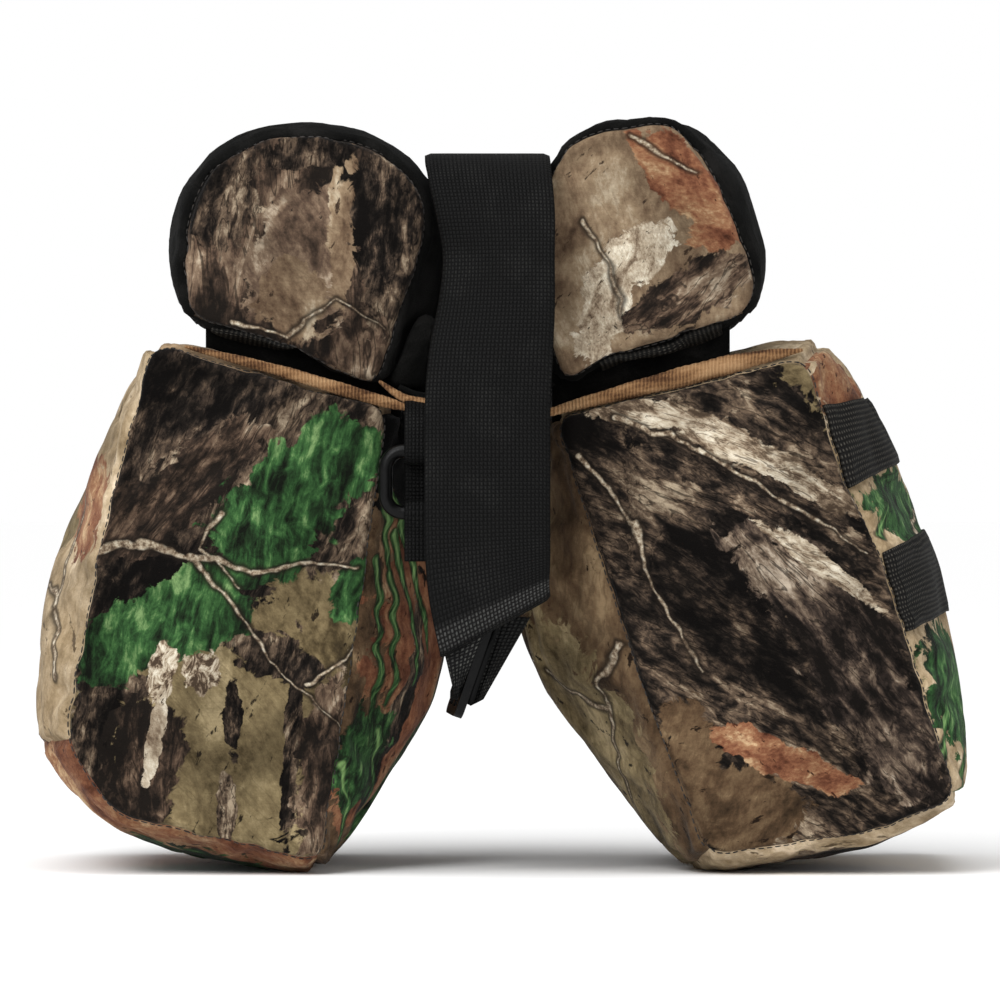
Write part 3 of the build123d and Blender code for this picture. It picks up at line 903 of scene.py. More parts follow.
def catmull(points, step):
    """A smooth curve through points (each row any number of values), about step apart."""
    points = np.array(points, float)
    padded = np.vstack([2 * points[0] - points[1], points, 2 * points[-1] - points[-2]])
    out = []
    for k in range(1, len(padded) - 2):
        a, b, c, d = padded[k - 1:k + 3]
        count = max(1, int(round(np.linalg.norm((c - b)[:3]) / step)))
        for i in range(count):
            t = i / count
            out.append(0.5 * (2 * b + (c - a) * t + (2 * a - 5 * b + 4 * c - d) * t * t
                              + (3 * b - a - 3 * c + d) * t ** 3))
    out.append(points[-1])
    return np.array(out)


def ribbon(name, path, widths, width, thick, made, cup=0.0, columns=16):
    """Flat webbing: path points, the direction of its width at each, and rounded selvedges."""
    tangent = np.gradient(path, axis=0)
    tangent /= np.linalg.norm(tangent, axis=1, keepdims=True)
    normal = np.cross(tangent, widths)
    normal /= np.linalg.norm(normal, axis=1, keepdims=True)
    u = np.linspace(-1, 1, columns + 1)
    u = np.sign(u) * np.abs(u) ** 0.85
    half = thick / 2 * np.sqrt(np.clip(1 - np.abs(u) ** 14, 0.04, 1))
    half *= 1 + 0.14 * np.exp(-((np.abs(u) - 0.93) / 0.05) ** 2)
    middle = path[:, None] + widths[:, None] * (u * width / 2)[None, :, None]
    bow = np.asarray(cup).reshape(-1, 1) * (u ** 2)[None]
    middle = middle + normal[:, None] * bow[:, :, None]
    offset = normal[:, None] * half[None, :, None]
    return slab(name, middle - offset, middle + offset, made)


def laid_on(tree, grid, low, high):
    """Two grids that follow a surface, low and high above it."""
    flat = grid.reshape(-1, 3)
    under = np.empty_like(flat)
    over = np.empty_like(flat)
    depth = np.broadcast_to(np.asarray(high), grid.shape[:2]).ravel()
    for k, point in enumerate(flat):
        place, normal, *_ = tree.find_nearest(Vector(point))
        under[k] = place + normal * low
        over[k] = place + normal * depth[k]
    return under.reshape(grid.shape), over.reshape(grid.shape)


def strip_grid(node, axis, rows, columns):
    """A grid over a sewn-on strip, from its CAD solid's two long edges."""
    points = node_points(node)
    ys = stations(points)
    edges = []
    for y in ys:
        near = points[np.abs(points[:, 1] - y) < 0.0005]
        near = near[np.argsort(near[:, axis])]
        half = len(near) // 2
        edges.append((near[:half].mean(0), near[half:].mean(0)))
    edges = np.array(edges)
    at = np.linspace(ys[0], ys[-1], rows + 1)
    grid = np.empty((rows + 1, columns + 1, 3))
    share = np.linspace(0, 1, columns + 1)
    for k in range(3):
        first = np.interp(at, ys, edges[:, 0, k])
        second = np.interp(at, ys, edges[:, 1, k])
        grid[:, :, k] = first[:, None] * (1 - share) + second[:, None] * share
    grid[:, :, 1] = at[:, None]
    return grid


def edge_fall(rows, columns, high, drop, reach):
    """A height for each grid point that falls by drop within reach cells of every edge."""
    r = np.minimum(np.arange(rows + 1), np.arange(rows, -1, -1))[:, None]
    c = np.minimum(np.arange(columns + 1), np.arange(columns, -1, -1))[None]
    near = np.clip(np.minimum(r, c) / reach, 0, 1)
    return high - drop * (1 - near) ** 2


def tube_faces(rows, sides, base=0):
    """The faces of a closed tube of rings of points, with its two end caps."""
    faces = []
    for r in range(rows - 1):
        for c in range(sides):
            a = base + r * sides + c
            b = base + r * sides + (c + 1) % sides
            faces.append((a, b, b + sides, a + sides))
    faces.append(tuple(range(base, base + sides))[::-1])
    faces.append(tuple(range(base + (rows - 1) * sides, base + rows * sides)))
    return faces


def tube_piece(name, points, radii, sides, made):
    """A round bar or hem along points, closed at both ends."""
    points = np.array(points, float)
    radii = np.array(radii, float)
    tangent = np.gradient(points, axis=0)
    tangent /= np.linalg.norm(tangent, axis=1, keepdims=True)
    first = np.cross(tangent, (0, 1, 0))
    first /= np.linalg.norm(first, axis=1, keepdims=True)
    second = np.cross(tangent, first)
    turn = np.linspace(0, 2 * math.pi, sides, endpoint=False)
    ring = first[:, None] * np.cos(turn)[None, :, None]
    ring = ring + second[:, None] * np.sin(turn)[None, :, None]
    verts = points[:, None] + ring * radii[:, None, None]
    piece = new_object(name, verts.reshape(-1, 3), tube_faces(len(points), sides), [made])
    face_out(piece)
    return piece


# ---- printed cloth, panel by panel --------------------------------------------------
def camo_set():
    """Every printed panel's material, by name."""
    out = {}
    out["left_front"] = camo(
        "camo_left_front", "xz", ("bark", BARK_DARK, 62, 9.0),
        layers=(
            ("leafy", LEAF_OLIVE, 86, 20.0, ((-92, 38, 50, 44, 12), (-62, 60, 26, 34, 0))),
            ("bark", BARK_MID, 50, 9.0, ((-96, 118, 30, 10, 40), (-112, 108, 16, 12, 30))),
            ("bark", BARK_DARK, 75, 7.0, ((-126, 40, 8, 34, -12), (-68, 66, 20, 7, -20),
                                          (-64, 40, 3, 34, -4), (-116, 58, 16, 5, 0))),
            ("bark", BARK_MID, 84, 9.0, ((-110, 32, 13, 26, -8), (-54, 36, 9, 30, -6))),
            ("needles", GREEN, 78, 9.0, (
                (-66, 112, 27, 17, 38), (-96, 80, 26, 13, 24), (-117, 70, 15, 12, 40),
                (-50, 128, 12, 15, 20), (-44, 88, 7, 11, -30), (-84, 90, 14, 7, 10),
            )),
            ("specks", TWIG, 78, 3.2, ((-104, 60, 5, 10, -10), (-92, 62, 7, 6, 20))),
            ("leafy", TWIG, 84, 9.0, ((-106, 42, 2.6, 20, -10),)),
            ("bark", BARK_DARK, 88, 5.0, ((-82, 48, 3, 12, 0), (-84, 20, 3, 10, 0))),
        ),
        twigs=(
            (1.7, (-126, 99), (-110, 101), (-94, 97), (-84, 86), (-76, 74), (-66, 60), (-48, 44)),
            (1.2, (-96, 98), (-76, 93), (-44, 94)),
            (0.7, (-86, 112), (-92, 100), (-80, 88)),
            (0.6, (-60, 58), (-44, 70)),
        ),
    )
    out["right_front"] = camo(
        "camo_right_front", "xz", ("bark", BARK_DARK, -32, 8.0),
        layers=(
            ("leafy", LEAF_OLIVE, -25, 18.0, ((112, 152, 26, 16, -20), (120, 128, 20, 16, -40))),
            ("bark", BARK_GREY, -52, 8.0, ((112, 56, 40, 15, -58), (96, 84, 36, 12, -40))),
            ("leafy", LEAF_BROWN, 30, 16.0, ((74, 20, 20, 14, 0), (58, 38, 9, 18, 10))),
            ("leafy", RUST, -20, 8.0, ((86, 35, 22, 5.5, -22), (70, 43, 8, 4, 0))),
            ("bark", TWIG, -27, 5.0, ((78, 127, 44, 5.5, -27), (44, 141, 22, 4.5, -8),
                                      (96, 96, 26, 3.0, -36))),
            ("bark", BARK_DARK, -30, 7.0, ((92, 112, 26, 3.5, -32), (62, 122, 30, 5.0, -30))),
        ),
        twigs=(
            (1.1, (36, 140), (60, 131), (84, 116), (112, 98)),
            (0.9, (24, 128), (40, 108), (48, 84), (62, 62)),
            (0.8, (100, 150), (108, 128), (124, 108)),
        ),
    )
    out["left_inner"] = camo(
        "camo_left_inner", "yz", ("leafy", LEAF_BROWN, 70, 18.0),
        layers=(
            ("leafy", RUST, 76, 16.0, ((-40, 84, 30, 50, 0), (-56, 30, 18, 16, 0),
                                       (40, 30, 18, 22, 0))),
            ("bark", BARK_DARK, 88, 7.0, ((-50, 52, 5, 42, -4), (20, 60, 8, 40, 10))),
            ("needles", GREEN, 80, 8.0, ((-62, 36, 13, 16, 10), (-16, 30, 14, 22, 0),
                                         (34, 96, 16, 26, 20))),
            # A near-black patch at the gusset's top front, behind the ring.
            ("bark", NIGHT, 80, 8.0, ((-58, 134, 40, 23, 0),)),
        ),
        blades=(
            (2.4, (-70, 118), (-64, 92), (-58, 52)), (2.2, (-66, 116), (-52, 96), (-40, 68)),
            (2.0, (-62, 104), (-52, 76), (-48, 58)), (1.9, (-71, 96), (-67, 70), (-60, 40)),
            (2.2, (-72, 34), (-62, 20), (-56, 6)), (1.9, (-58, 44), (-48, 24), (-44, 4)),
            (2.4, (-30, 20), (-18, 60), (-20, 96)), (2.4, (10, 40), (22, 78), (20, 110)),
            (2.4, (46, 20), (50, 62), (62, 100)),
        ),
    )
    out["left_outer"] = camo(
        "camo_left_outer", "yz", ("leafy", LEAF_TAN, 60, 26.0),
        layers=(
            ("bark", BARK_MID, 70, 10.0, ((30, 96, 16, 60, 20), (-8, 46, 20, 30, -20))),
            ("leafy", LEAF_OLIVE, 60, 20.0, ((60, 60, 20, 60, 0), (-20, 120, 22, 30, 20))),
            ("leafy", RUST, 50, 12.0, ((-52, 112, 20, 14, 30), (24, 70, 12, 20, 0))),
            ("needles", GREEN, 70, 8.0, ((50, 126, 20, 24, 20), (0, 70, 26, 12, 30))),
        ),
        blades=((1.6, (30, 40), (44, 70), (60, 96)), (1.5, (10, 44), (22, 76), (30, 100)),
                (1.4, (-20, 50), (-10, 74), (8, 92))),
        twigs=((1.0, (-66, 60), (-50, 84), (-20, 96), (20, 92)), (0.9, (-48, 86), (-40, 120)),
               (1.3, (70, 30), (40, 60), (0, 104), (-10, 140))),
    )
    out["left_top"] = camo("camo_left_top", "xy", ("leafy", LEAF_HEM, 20, 22.0),
                           layers=(("bark", BARK_MID, 30, 9.0, ((-80, 20, 40, 30, 20),)),))
    out["left_bottom"] = camo("camo_left_bottom", "xy", ("leafy", RUST, 20, 16.0),
                              layers=(("needles", GREEN, 10, 8.0, ((-90, -30, 30, 30, 0),)),))
    out["right_inner"] = camo(
        "camo_right_inner", "yz", ("leafy", LEAF_BROWN, 75, 24.0),
        layers=(("leafy", LEAF_OLIVE, 60, 20.0, ((-40, 40, 26, 44, 0), (30, 100, 26, 30, 0))),),
        twigs=((0.9, (-72, 70), (-58, 52), (-46, 30), (-40, 12)), (0.8, (-56, 50), (-30, 62)),
               (0.9, (-20, 110), (0, 80), (10, 40), (40, 20))),
    )
    out["right_outer"] = camo(
        "camo_right_outer", "yz", ("leafy", LEAF_TAN, 60, 20.0),
        layers=(
            ("leafy", LEAF_OLIVE, 60, 18.0, ((40, 110, 34, 30, 0), (0, 30, 40, 16, 10))),
            ("bark", BARK_MID, 76, 10.0, ((30, 70, 12, 60, -24), (-14, 140, 30, 12, 10))),
            ("leafy", RUST, 50, 12.0, ((-52, 150, 24, 12, 0), (10, 60, 20, 14, 30))),
            ("needles", GREEN, 64, 8.0, ((-40, 112, 30, 12, 0), (-50, 56, 24, 20, 0),
                                         (52, 46, 20, 22, 0))),
        ),
        twigs=((1.2, (-60, 96), (-20, 112), (20, 104), (60, 124)), (0.9, (0, 110), (20, 140))),
        blades=(
            (1.6, (-74, 36), (-56, 62), (-40, 78)), (1.5, (-72, 20), (-54, 44), (-30, 60)),
            (1.5, (-70, 104), (-52, 120), (-30, 124)), (1.4, (0, 30), (20, 60), (22, 90)),
        ),
    )
    out["right_top"] = camo("camo_right_top", "xy", ("leafy", LEAF_TAN, 20, 18.0),
                            layers=(("leafy", LEAF_OLIVE, 30, 14.0, ((50, 10, 30, 30, 20),)),))
    out["right_bottom"] = camo("camo_right_bottom", "xy", ("leafy", LEAF_TAN, 20, 18.0),
                               layers=(("bark", BARK_MID, 10, 9.0, ((100, -30, 30, 30, 0),)),))
    out["left_back"] = camo(
        "camo_left_back", "xz", ("leafy", LEAF_OLIVE, 70, 20.0),
        layers=(("bark", BARK_DARK, 60, 9.0, ((-110, 60, 30, 60, 20),)),
                ("needles", GREEN, 30, 9.0, ((-60, 60, 26, 26, 30),))),
        twigs=((2.0, (-120, 30), (-100, 70), (-70, 90), (-50, 130)), (1.2, (-90, 80), (-60, 70))),
    )
    out["right_back"] = camo(
        "camo_right_back", "xz", ("bark", BARK_MID, -60, 10.0),
        layers=(("leafy", LEAF_OLIVE, 70, 20.0, ((70, 100, 34, 40, 0),)),
                ("needles", GREEN, 140, 9.0, ((110, 60, 26, 26, 30),))),
        twigs=((2.2, (50, 140), (80, 100), (100, 70), (130, 40)), (1.2, (80, 100), (60, 60))),
    )
    out["left_disc"] = camo(
        "camo_left_disc", "xz", ("bark", BARK_MID, 84, 12.0),
        layers=(
            ("leafy", BARK_MID, 80, 18.0, ((-62, 186, 16, 26, -8),)),
            ("leafy", LEAF_ROLL, 86, 16.0, ((-48, 200, 5, 26, -4), (-64, 176, 11, 14, 0))),
            ("bark", BARK_DARK, 80, 7.0, ((-34, 196, 12, 34, 6), (-86, 206, 12, 14, 0),
                                          (-58, 222, 20, 6, 10))),
        ),
        twigs=((0.7, (-82, 168), (-66, 166), (-50, 176), (-36, 168)),),
    )
    out["right_disc"] = camo(
        "camo_right_disc", "xz", ("leafy", LEAF_ROLL, 66, 18.0),
        layers=(
            ("leafy", TWIG, 70, 5.0, ((32, 176, 8, 20, -20), (44, 190, 7, 12, -30))),
            ("leafy", RUST, -46, 10.0, ((56, 212, 22, 9, -50), (66, 198, 9, 8, 0))),
            ("bark", BARK_MID, 40, 8.0, ((58, 178, 22, 9, 30),)),
        ),
        twigs=((0.7, (40, 226), (60, 214)), (0.6, (24, 200), (34, 186), (36, 170))),
    )
    return out


# ---- the bags -----------------------------------------------------------------------
PITCH = 3.1 * MM
LEG_LONG = 46               # columns up a leg's side
LEG_WIDE = 32               # columns over its top or bottom
ROLL_UNDER = 20
ROLL_SIDE = 20
LEG_CROWN = 4.6 * MM
ROLL_CROWN = 4.2 * MM
LEG_CREASES = (1.1, 1.25, 0.9)      # seam depth, puckers, wrinkles, in millimetres
ROLL_CREASES = (1.0, 1.3, 0.8)


def make_leg(side, order, columns, sides, cloths, seed):
    gussets = [f"{side}_leg_{part}_gusset" for part in order]
    tube = read_tube(f"{side}_leg_fill", gussets, columns, PITCH)
    materials = [cloths[f"{side}_{part}"] for part in order]
    materials += [cloths[f"{side}_front"], cloths[f"{side}_back"]]
    bag = bag_mesh(f"{side}_leg_bag", tube, columns, sides, LEG_CROWN, materials)
    cols = tube.shape[1]
    last = (tube.shape[0] - 1) * cols
    corners = np.cumsum([0, *columns])[:-1]
    seam = list(range(cols)) + list(range(last, last + cols))
    for c in corners:
        seam += list(range(c, last + cols, cols))
    crease(bag, sorted(set(int(s) for s in seam)))
    subdivide(bag)
    relief(bag, seam_lines(tube, columns), seed, LEG_CREASES)
    settle(bag, 0.0)
    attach(bag, f"{side}_leg")
    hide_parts(f"{side}_leg_front_panel", f"{side}_leg_back_panel", f"{side}_leg_fill",
                *gussets)
    return bag, tube


def make_roll(side, cloths, black, seed):
    order = ("underside", "wrap")
    columns = (ROLL_UNDER, ROLL_UNDER + 2 * ROLL_SIDE)
    tube = read_tube(f"{side}_roll_fill", [f"{side}_roll_{part}" for part in order], columns, PITCH)
    disc = cloths[f"{side}_disc"]
    roll = bag_mesh(f"{side}_roll_bag", tube, columns, (ROLL_UNDER, ROLL_SIDE), ROLL_CROWN,
                    [black, black, disc, disc])
    cols = tube.shape[1]
    last = (tube.shape[0] - 1) * cols
    seam = list(range(cols)) + list(range(last, last + cols))
    crease(roll, seam)
    subdivide(roll)
    relief(roll, seam_lines(tube, columns)[:2], seed, ROLL_CREASES)
    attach(roll, f"{side}_roll")
    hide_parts(f"{side}_roll_front_disc", f"{side}_roll_back_disc",
                f"{side}_roll_underside", f"{side}_roll_fill")
    return roll, tube


WRAP_LIFT = 0.9 * MM


def make_wrap(side, roll, tube, black):
    """The black cloth laid round a roll, from under its outer side over the top to its tip."""
    grid = np.concatenate([tube[:, ROLL_UNDER:], tube[:, :1]], axis=1)
    rows, cols = grid.shape[0] - 1, grid.shape[1] - 1
    high = edge_fall(rows, cols, WRAP_LIFT, 0.5 * MM, 2.0)
    under, over = laid_on(tree_of(roll.data), grid, -0.5 * MM, high)
    wrap = slab(f"{side}_roll_cover", under, over, black)
    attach(wrap, f"{side}_roll")
    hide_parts(f"{side}_roll_wrap")


def make_strip(name, node, body, tree, axis, size, made, columns, high):
    """Hook tape sewn onto a bag."""
    rows = int(size[1] / PITCH * 1.3)
    grid = strip_grid(node, axis, rows, columns)
    lift = edge_fall(rows, columns, high, 0.35 * MM, 1.2)
    under, over = laid_on(tree, grid, -0.2 * MM, lift)
    strip = slab(name, under, over, made)
    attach(strip, body)
    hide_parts(node)


# ---- the strap ----------------------------------------------------------------------
WEB_WIDTH = 38 * MM
WEB_THICK = 1.8 * MM
FOLD_HIGHLIGHT_AT = 418.1           # where a painted highlight lies across its lower fold, in millimetres from the rear tab
# The strap's middle line in millimetres, then how far its width is turned and tilted, and
# how far its edges curl away from the bags.
STRAP_ROUTE = (
    (-4.4, 76.0, 149.2, 0, 0, 0),
    (-4.4, 91.0, 149.6, 0, 0, 0),
    (-4.4, 101.5, 155.0, 0, 0, 0),
    (-4.4, 108.0, 168.0, 0, 0, 0),
    (-4.4, 108.0, 186.0, 0, 0, 0),
    (-4.4, 101.0, 203.0, 0, 0, 0),
    (-4.4, 89.0, 215.0, 0, 0, 0),
    (-4.6, 72.0, 219.6, 0, 0, 0),
    (-4.8, 36.0, 219.0, 0, 0, 0),
    (-4.8, -36.0, 219.0, 0, 0, 0),
    (-4.6, -72.0, 219.8, 0, 0, 0),
    (-4.3, -84.0, 218.2, 0, 0, 0),
    (-3.6, -92.5, 212.0, -8, 0, 0.5),
    (-2.4, -97.0, 202.0, -18, 0, 1.0),
    (-1.6, -99.0, 189.0, -27, 0, 1.2),
    (-2.0, -101.0, 175.0, -22, 0, 0.9),
    (-3.4, -103.5, 160.0, -10, 0, 0.5),
    (-4.3, -105.0, 144.0, 0, 0, 0.3),
    (-4.4, -106.0, 124.0, 0, 0, 0.3),
    (-4.4, -106.4, 105.0, 0, 2, 0.2),
    (-4.0, -106.4, 93.0, 0, 12, 0),
    (-3.0, -106.0, 83.5, 0, 24, 0),
    (-2.2, -105.0, 78.0, 0, 29, 0),
    (-2.0, -103.2, 76.6, 0, 29, 0),
    (-2.2, -101.6, 78.0, 0, 29, 0),
    (-2.8, -101.2, 84.0, 0, 29, 0),
)


def width_rows(turn, tilt):
    turn = np.radians(turn)
    tilt = np.radians(tilt)
    return np.column_stack([np.cos(turn) * np.cos(tilt), np.sin(turn) * np.cos(tilt), np.sin(tilt)])


def make_strap(web):
    route = catmull(STRAP_ROUTE, 1.8)
    path = route[:, :3] * MM
    strap = ribbon("webbing_strap", path, width_rows(route[:, 3], route[:, 4]), WEB_WIDTH,
                   WEB_THICK, web, cup=-route[:, 5] * MM, columns=18)
    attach(strap, "yoke")
    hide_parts("carry_strap")


RING_X = -13.2
RING_Y = -85.6
RING_TOP_Z = 129.6
RING_LOW_Z = 110.8
LOOP_WIDTH = 33 * MM
LOOP_R = 3.4                # middle of the webbing round a ring bar


def loop_path(bar_z, away, start, end):
    """A strip's middle line in (y, z): in along start, round a bar and out along end."""
    line = list(start)
    first = math.radians(60)
    for k in range(13):
        turn = first + (2 * math.pi - 2 * first) * k / 12
        y = RING_Y - LOOP_R * math.sin(turn)
        line.append((y, bar_z + away * LOOP_R * math.cos(turn)))
    return line + list(end)


def make_loop(name, body, node, line, web):
    path = catmull([(RING_X, y, z) for y, z in line], 0.8) * MM
    widths = np.tile((1.0, 0.0, 0.0), (len(path), 1))
    piece = ribbon(name, path, widths, LOOP_WIDTH, 1.7 * MM, web, columns=14)
    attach(piece, body)
    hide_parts(node)


def make_tab(web):
    """The yoke's front tab: webbing doubled down round the ring's upper bar."""
    line = loop_path(RING_TOP_Z, 1, ((-70, 146.1), (-77, 145.2), (-83.4, 141.8), (-86.6, 136.4)),
                     ((-84.3, 136.8), (-81.6, 140.0), (-76, 143.2), (-70, 144.2)))
    make_loop("ring_tab", "yoke", "front_tab", line, web)


def make_end_loop(web):
    """The strap's sewn end, doubled up round the ring's lower bar."""
    line = loop_path(RING_LOW_Z, -1, ((-86.5, 96), (-86.6, 101), (-87.0, 105)),
                     ((-84.2, 105), (-84.6, 101), (-84.7, 96)))
    make_loop("webbing_end_loop", "hanging_ring", "strap_end_loop", line, web)


def make_backing(web):
    """The strap's sewn end runs on up behind the ring."""
    path = catmull([(RING_X, y, z) for y, z in ((-83.3, 97), (-82.0, 104), (-81.0, 112),
                                                (-80.9, 121), (-81.3, 127.5))], 0.8) * MM
    widths = np.tile((1.0, 0.0, 0.0), (len(path), 1))
    backing = ribbon("ring_backing_web", path, widths, LOOP_WIDTH, 1.6 * MM, web, columns=14)
    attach(backing, "hanging_ring")


def make_rear_tab(web):
    """Two layers of webbing sewn flat to the yoke, where the strap starts."""
    path = catmull([(-4.4, y, z) for y, z in ((69, 146.2), (74, 146.3), (80, 146.1), (86, 146.3))],
                   0.8) * MM
    widths = np.tile((1.0, 0.0, 0.0), (len(path), 1))
    tab = ribbon("rear_webbing_tab", path, widths, WEB_WIDTH, 3.4 * MM, web)
    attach(tab, "yoke")
    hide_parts("rear_tab")


SLIDE_PLACE = (-7.4, -89.0, 70.5)       # millimetres
SLIDE_LEAN = math.radians(19)
SLIDE_YAW = math.radians(8)


def slide_axes():
    """The slide's short side, long side and face, as directions."""
    face = np.array((-math.cos(SLIDE_LEAN), 0, math.sin(SLIDE_LEAN)))
    short = np.array((0.0, 1.0, 0.0))
    long = np.cross(face, short)
    turn, keep = math.sin(SLIDE_YAW), math.cos(SLIDE_YAW)
    return short * keep + face * turn, long, face * keep - short * turn


def make_link(web):
    """The webbing woven over the slide's middle bar."""
    short, long, face = slide_axes()
    weave = ((-10.5, -2.2), (-8.8, -2.4), (-5.9, -2.2), (-3.2, 1.4), (0, 2.6), (3.2, 1.4),
             (5.9, -2.2), (8.8, -2.4), (10.5, -2.2))
    place = np.array(SLIDE_PLACE)
    path = catmull([place + short * u + face * h for u, h in weave], 0.7) * MM
    widths = np.tile(long, (len(path), 1))
    link = ribbon("slide_webbing", path, widths, 35.5 * MM, 1.6 * MM, web)
    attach(link, "slide")
    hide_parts("strap_link")


def make_wedge(name, top, low, web, rows=18, columns=16):
    """A gathered fan of webbing beside the slide, from its upper edge to its lower edge."""
    top = np.array(top, float)
    low = np.array(low, float)
    share = np.linspace(0, 1, columns + 1)[None, :, None]
    down = np.linspace(0, 1, rows + 1)[:, None, None]
    grid = (top[0] * (1 - share) + top[1] * share) * (1 - down)
    grid = grid + (low[0] * (1 - share) + low[1] * share) * down
    bulge = np.sin(math.pi * share) * (0.6 + 0.6 * down)
    fold = np.sin(share * 4 * math.pi + 1.0) * down * 0.35
    grid[:, :, 1:2] -= bulge + fold
    half = 0.75 * np.sqrt(np.clip(1 - np.abs(2 * share - 1) ** 10, 0.1, 1))
    offset = np.concatenate([np.zeros_like(half), half, np.zeros_like(half)], axis=2)
    piece = slab(name, (grid + offset) * MM, (grid - offset) * MM, web)
    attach(piece, "slide")
    return piece


def make_hem(name, body, points, cloth):
    """A rolled edge of printed cloth: x, z, y and radius at each point, in millimetres."""
    line = catmull([(x, y, z, r) for x, z, y, r in points], 0.9)
    beat = np.arange(len(line))
    ridge = 1 + 0.04 * np.sin(beat * 2.1) + 0.04 * np.sin(beat * 0.37)
    hem = tube_piece(name, line[:, :3] * MM, line[:, 3] * ridge * MM, 14, cloth)
    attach(hem, body)


HINGE_SLOPE = {"left": -0.30, "right": 0.27}     # each roll fold's rise over its run


def make_seat(side, xs, leg_bag, roll_bag, hinge, black):
    """The sewn web between a leg's top and its roll."""
    ys = np.linspace(-62, 62, 42) * MM
    xs = np.linspace(xs[0], xs[1], 24) * MM
    middle = HINGE_SLOPE[side]
    grid = np.empty((len(ys), len(xs), 3))
    for j, y in enumerate(ys):
        for i, x in enumerate(xs):
            grid[j, i] = (x, y, hinge[2] + middle * (x - hinge[0]))
    leg_tree = tree_of(leg_bag.data)
    roll_tree = tree_of(roll_bag.data)
    low = np.empty_like(grid)
    high = np.empty_like(grid)
    for j in range(len(ys)):
        for i in range(len(xs)):
            point = Vector(grid[j, i])
            down = leg_tree.ray_cast(point + Vector((0, 0, 0.02)), Vector((0, 0, -1)))[0]
            up = roll_tree.ray_cast(point - Vector((0, 0, 0.02)), Vector((0, 0, 1)))[0]
            low[j, i] = point if down is None else down
            high[j, i] = point if up is None else up
    high[:, :, 2] = np.maximum(high[:, :, 2] + 0.8 * MM, low[:, :, 2] + 0.6 * MM)
    low[:, :, 2] -= 0.8 * MM
    seat = slab(f"{side}_roll_seat", low, high, black)
    tilt = Vector((-middle, 0, 1)).normalized()
    start = Vector((hinge[0], 0, hinge[2])) - tilt * 0.5 * MM
    return seat, start, start + tilt * 2.5 * MM


# The trough's section in x and z, millimetres.
YOKE_TROUGH = ((-31.5, 149.4), (-28.5, 147.6), (-25.0, 146.7), (-20.0, 146.2), (-12.0, 146.1),
               (-4.0, 145.9), (4.0, 146.2), (9.0, 146.8), (12.5, 148.0), (15.6, 150.6))


def make_yoke(black):
    """The narrow cloth trough that joins the two legs under the groove."""
    line = catmull([(x, 0, z) for x, z in YOKE_TROUGH], 1.5)
    ys = np.linspace(-71.5, 71.5, 60)
    grid = np.empty((len(ys), len(line), 3))
    grid[:, :, 0] = line[:, 0]
    grid[:, :, 1] = ys[:, None]
    grid[:, :, 2] = line[:, 2]
    ripple = hash_noise(grid.reshape(-1, 3) * MM, 11 * MM, 7).reshape(grid.shape[:2])
    grid[:, :, 2] += 0.35 * ripple
    slope = np.gradient(line[:, 2], line[:, 0])
    normal = np.column_stack([-slope, np.zeros_like(slope), np.ones_like(slope)])
    normal /= np.linalg.norm(normal, axis=1, keepdims=True)
    high = edge_fall(len(ys) - 1, len(line) - 1, 1.0, 0.45, 2.0)[:, :, None]
    yoke = slab("yoke_trough", (grid - normal[None] * 1.0) * MM, (grid + normal[None] * high) * MM,
                black)
    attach(yoke, "yoke")
    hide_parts("yoke_web")


# The black wedge's section in x and z, how far it reaches from the middle and its points' spacing.
LEFT_GROOVE_WEDGE = ((-35.0, 150.4), (-24.6, 148.4), (-23.2, 154.0), (-22.0, 162.0), (-20.5, 170.0),
             (-25.5, 171.0), (-31.0, 160.0))
GROOVE_WEDGE_REACH = 66
GROOVE_WEDGE_STEP = 1.6


def make_groove_wedge(name, body, corners, black):
    """A soft black wedge along Y that fills the groove beside the left roll's tip."""
    closed = [(x, 0, z) for x, z in (*corners, *corners[:3])]
    loop = catmull(closed, GROOVE_WEDGE_STEP)
    first = len(loop) // (len(closed) - 1)
    far = range(first + 6, len(loop))
    gaps = (np.linalg.norm(loop[k] - loop[first]) for k in far)
    loop = loop[first:next((k for k, gap in zip(far, gaps) if gap < 0.9), None)]
    middle = loop.mean(0)
    ys = np.linspace(-GROOVE_WEDGE_REACH, GROOVE_WEDGE_REACH, 46)
    verts = []
    for y in ys:
        share = 1 - 0.18 * max(0.0, (abs(y) - GROOVE_WEDGE_REACH + 4) / 4) ** 2
        for point in loop:
            place = middle + (point - middle) * share
            verts.append((place[0], y, place[2]))
    verts = np.array(verts) * MM
    verts[:, 0] += 0.4 * MM * hash_noise(verts, 9 * MM, 5)
    tail = new_object(name, verts, tube_faces(len(ys), len(loop)), [black])
    face_out(tail)
    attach(tail, body)


STITCH_PITCH = 2.6 * MM
STITCH_LONG = 1.9 * MM
STITCH_R = 0.26 * MM


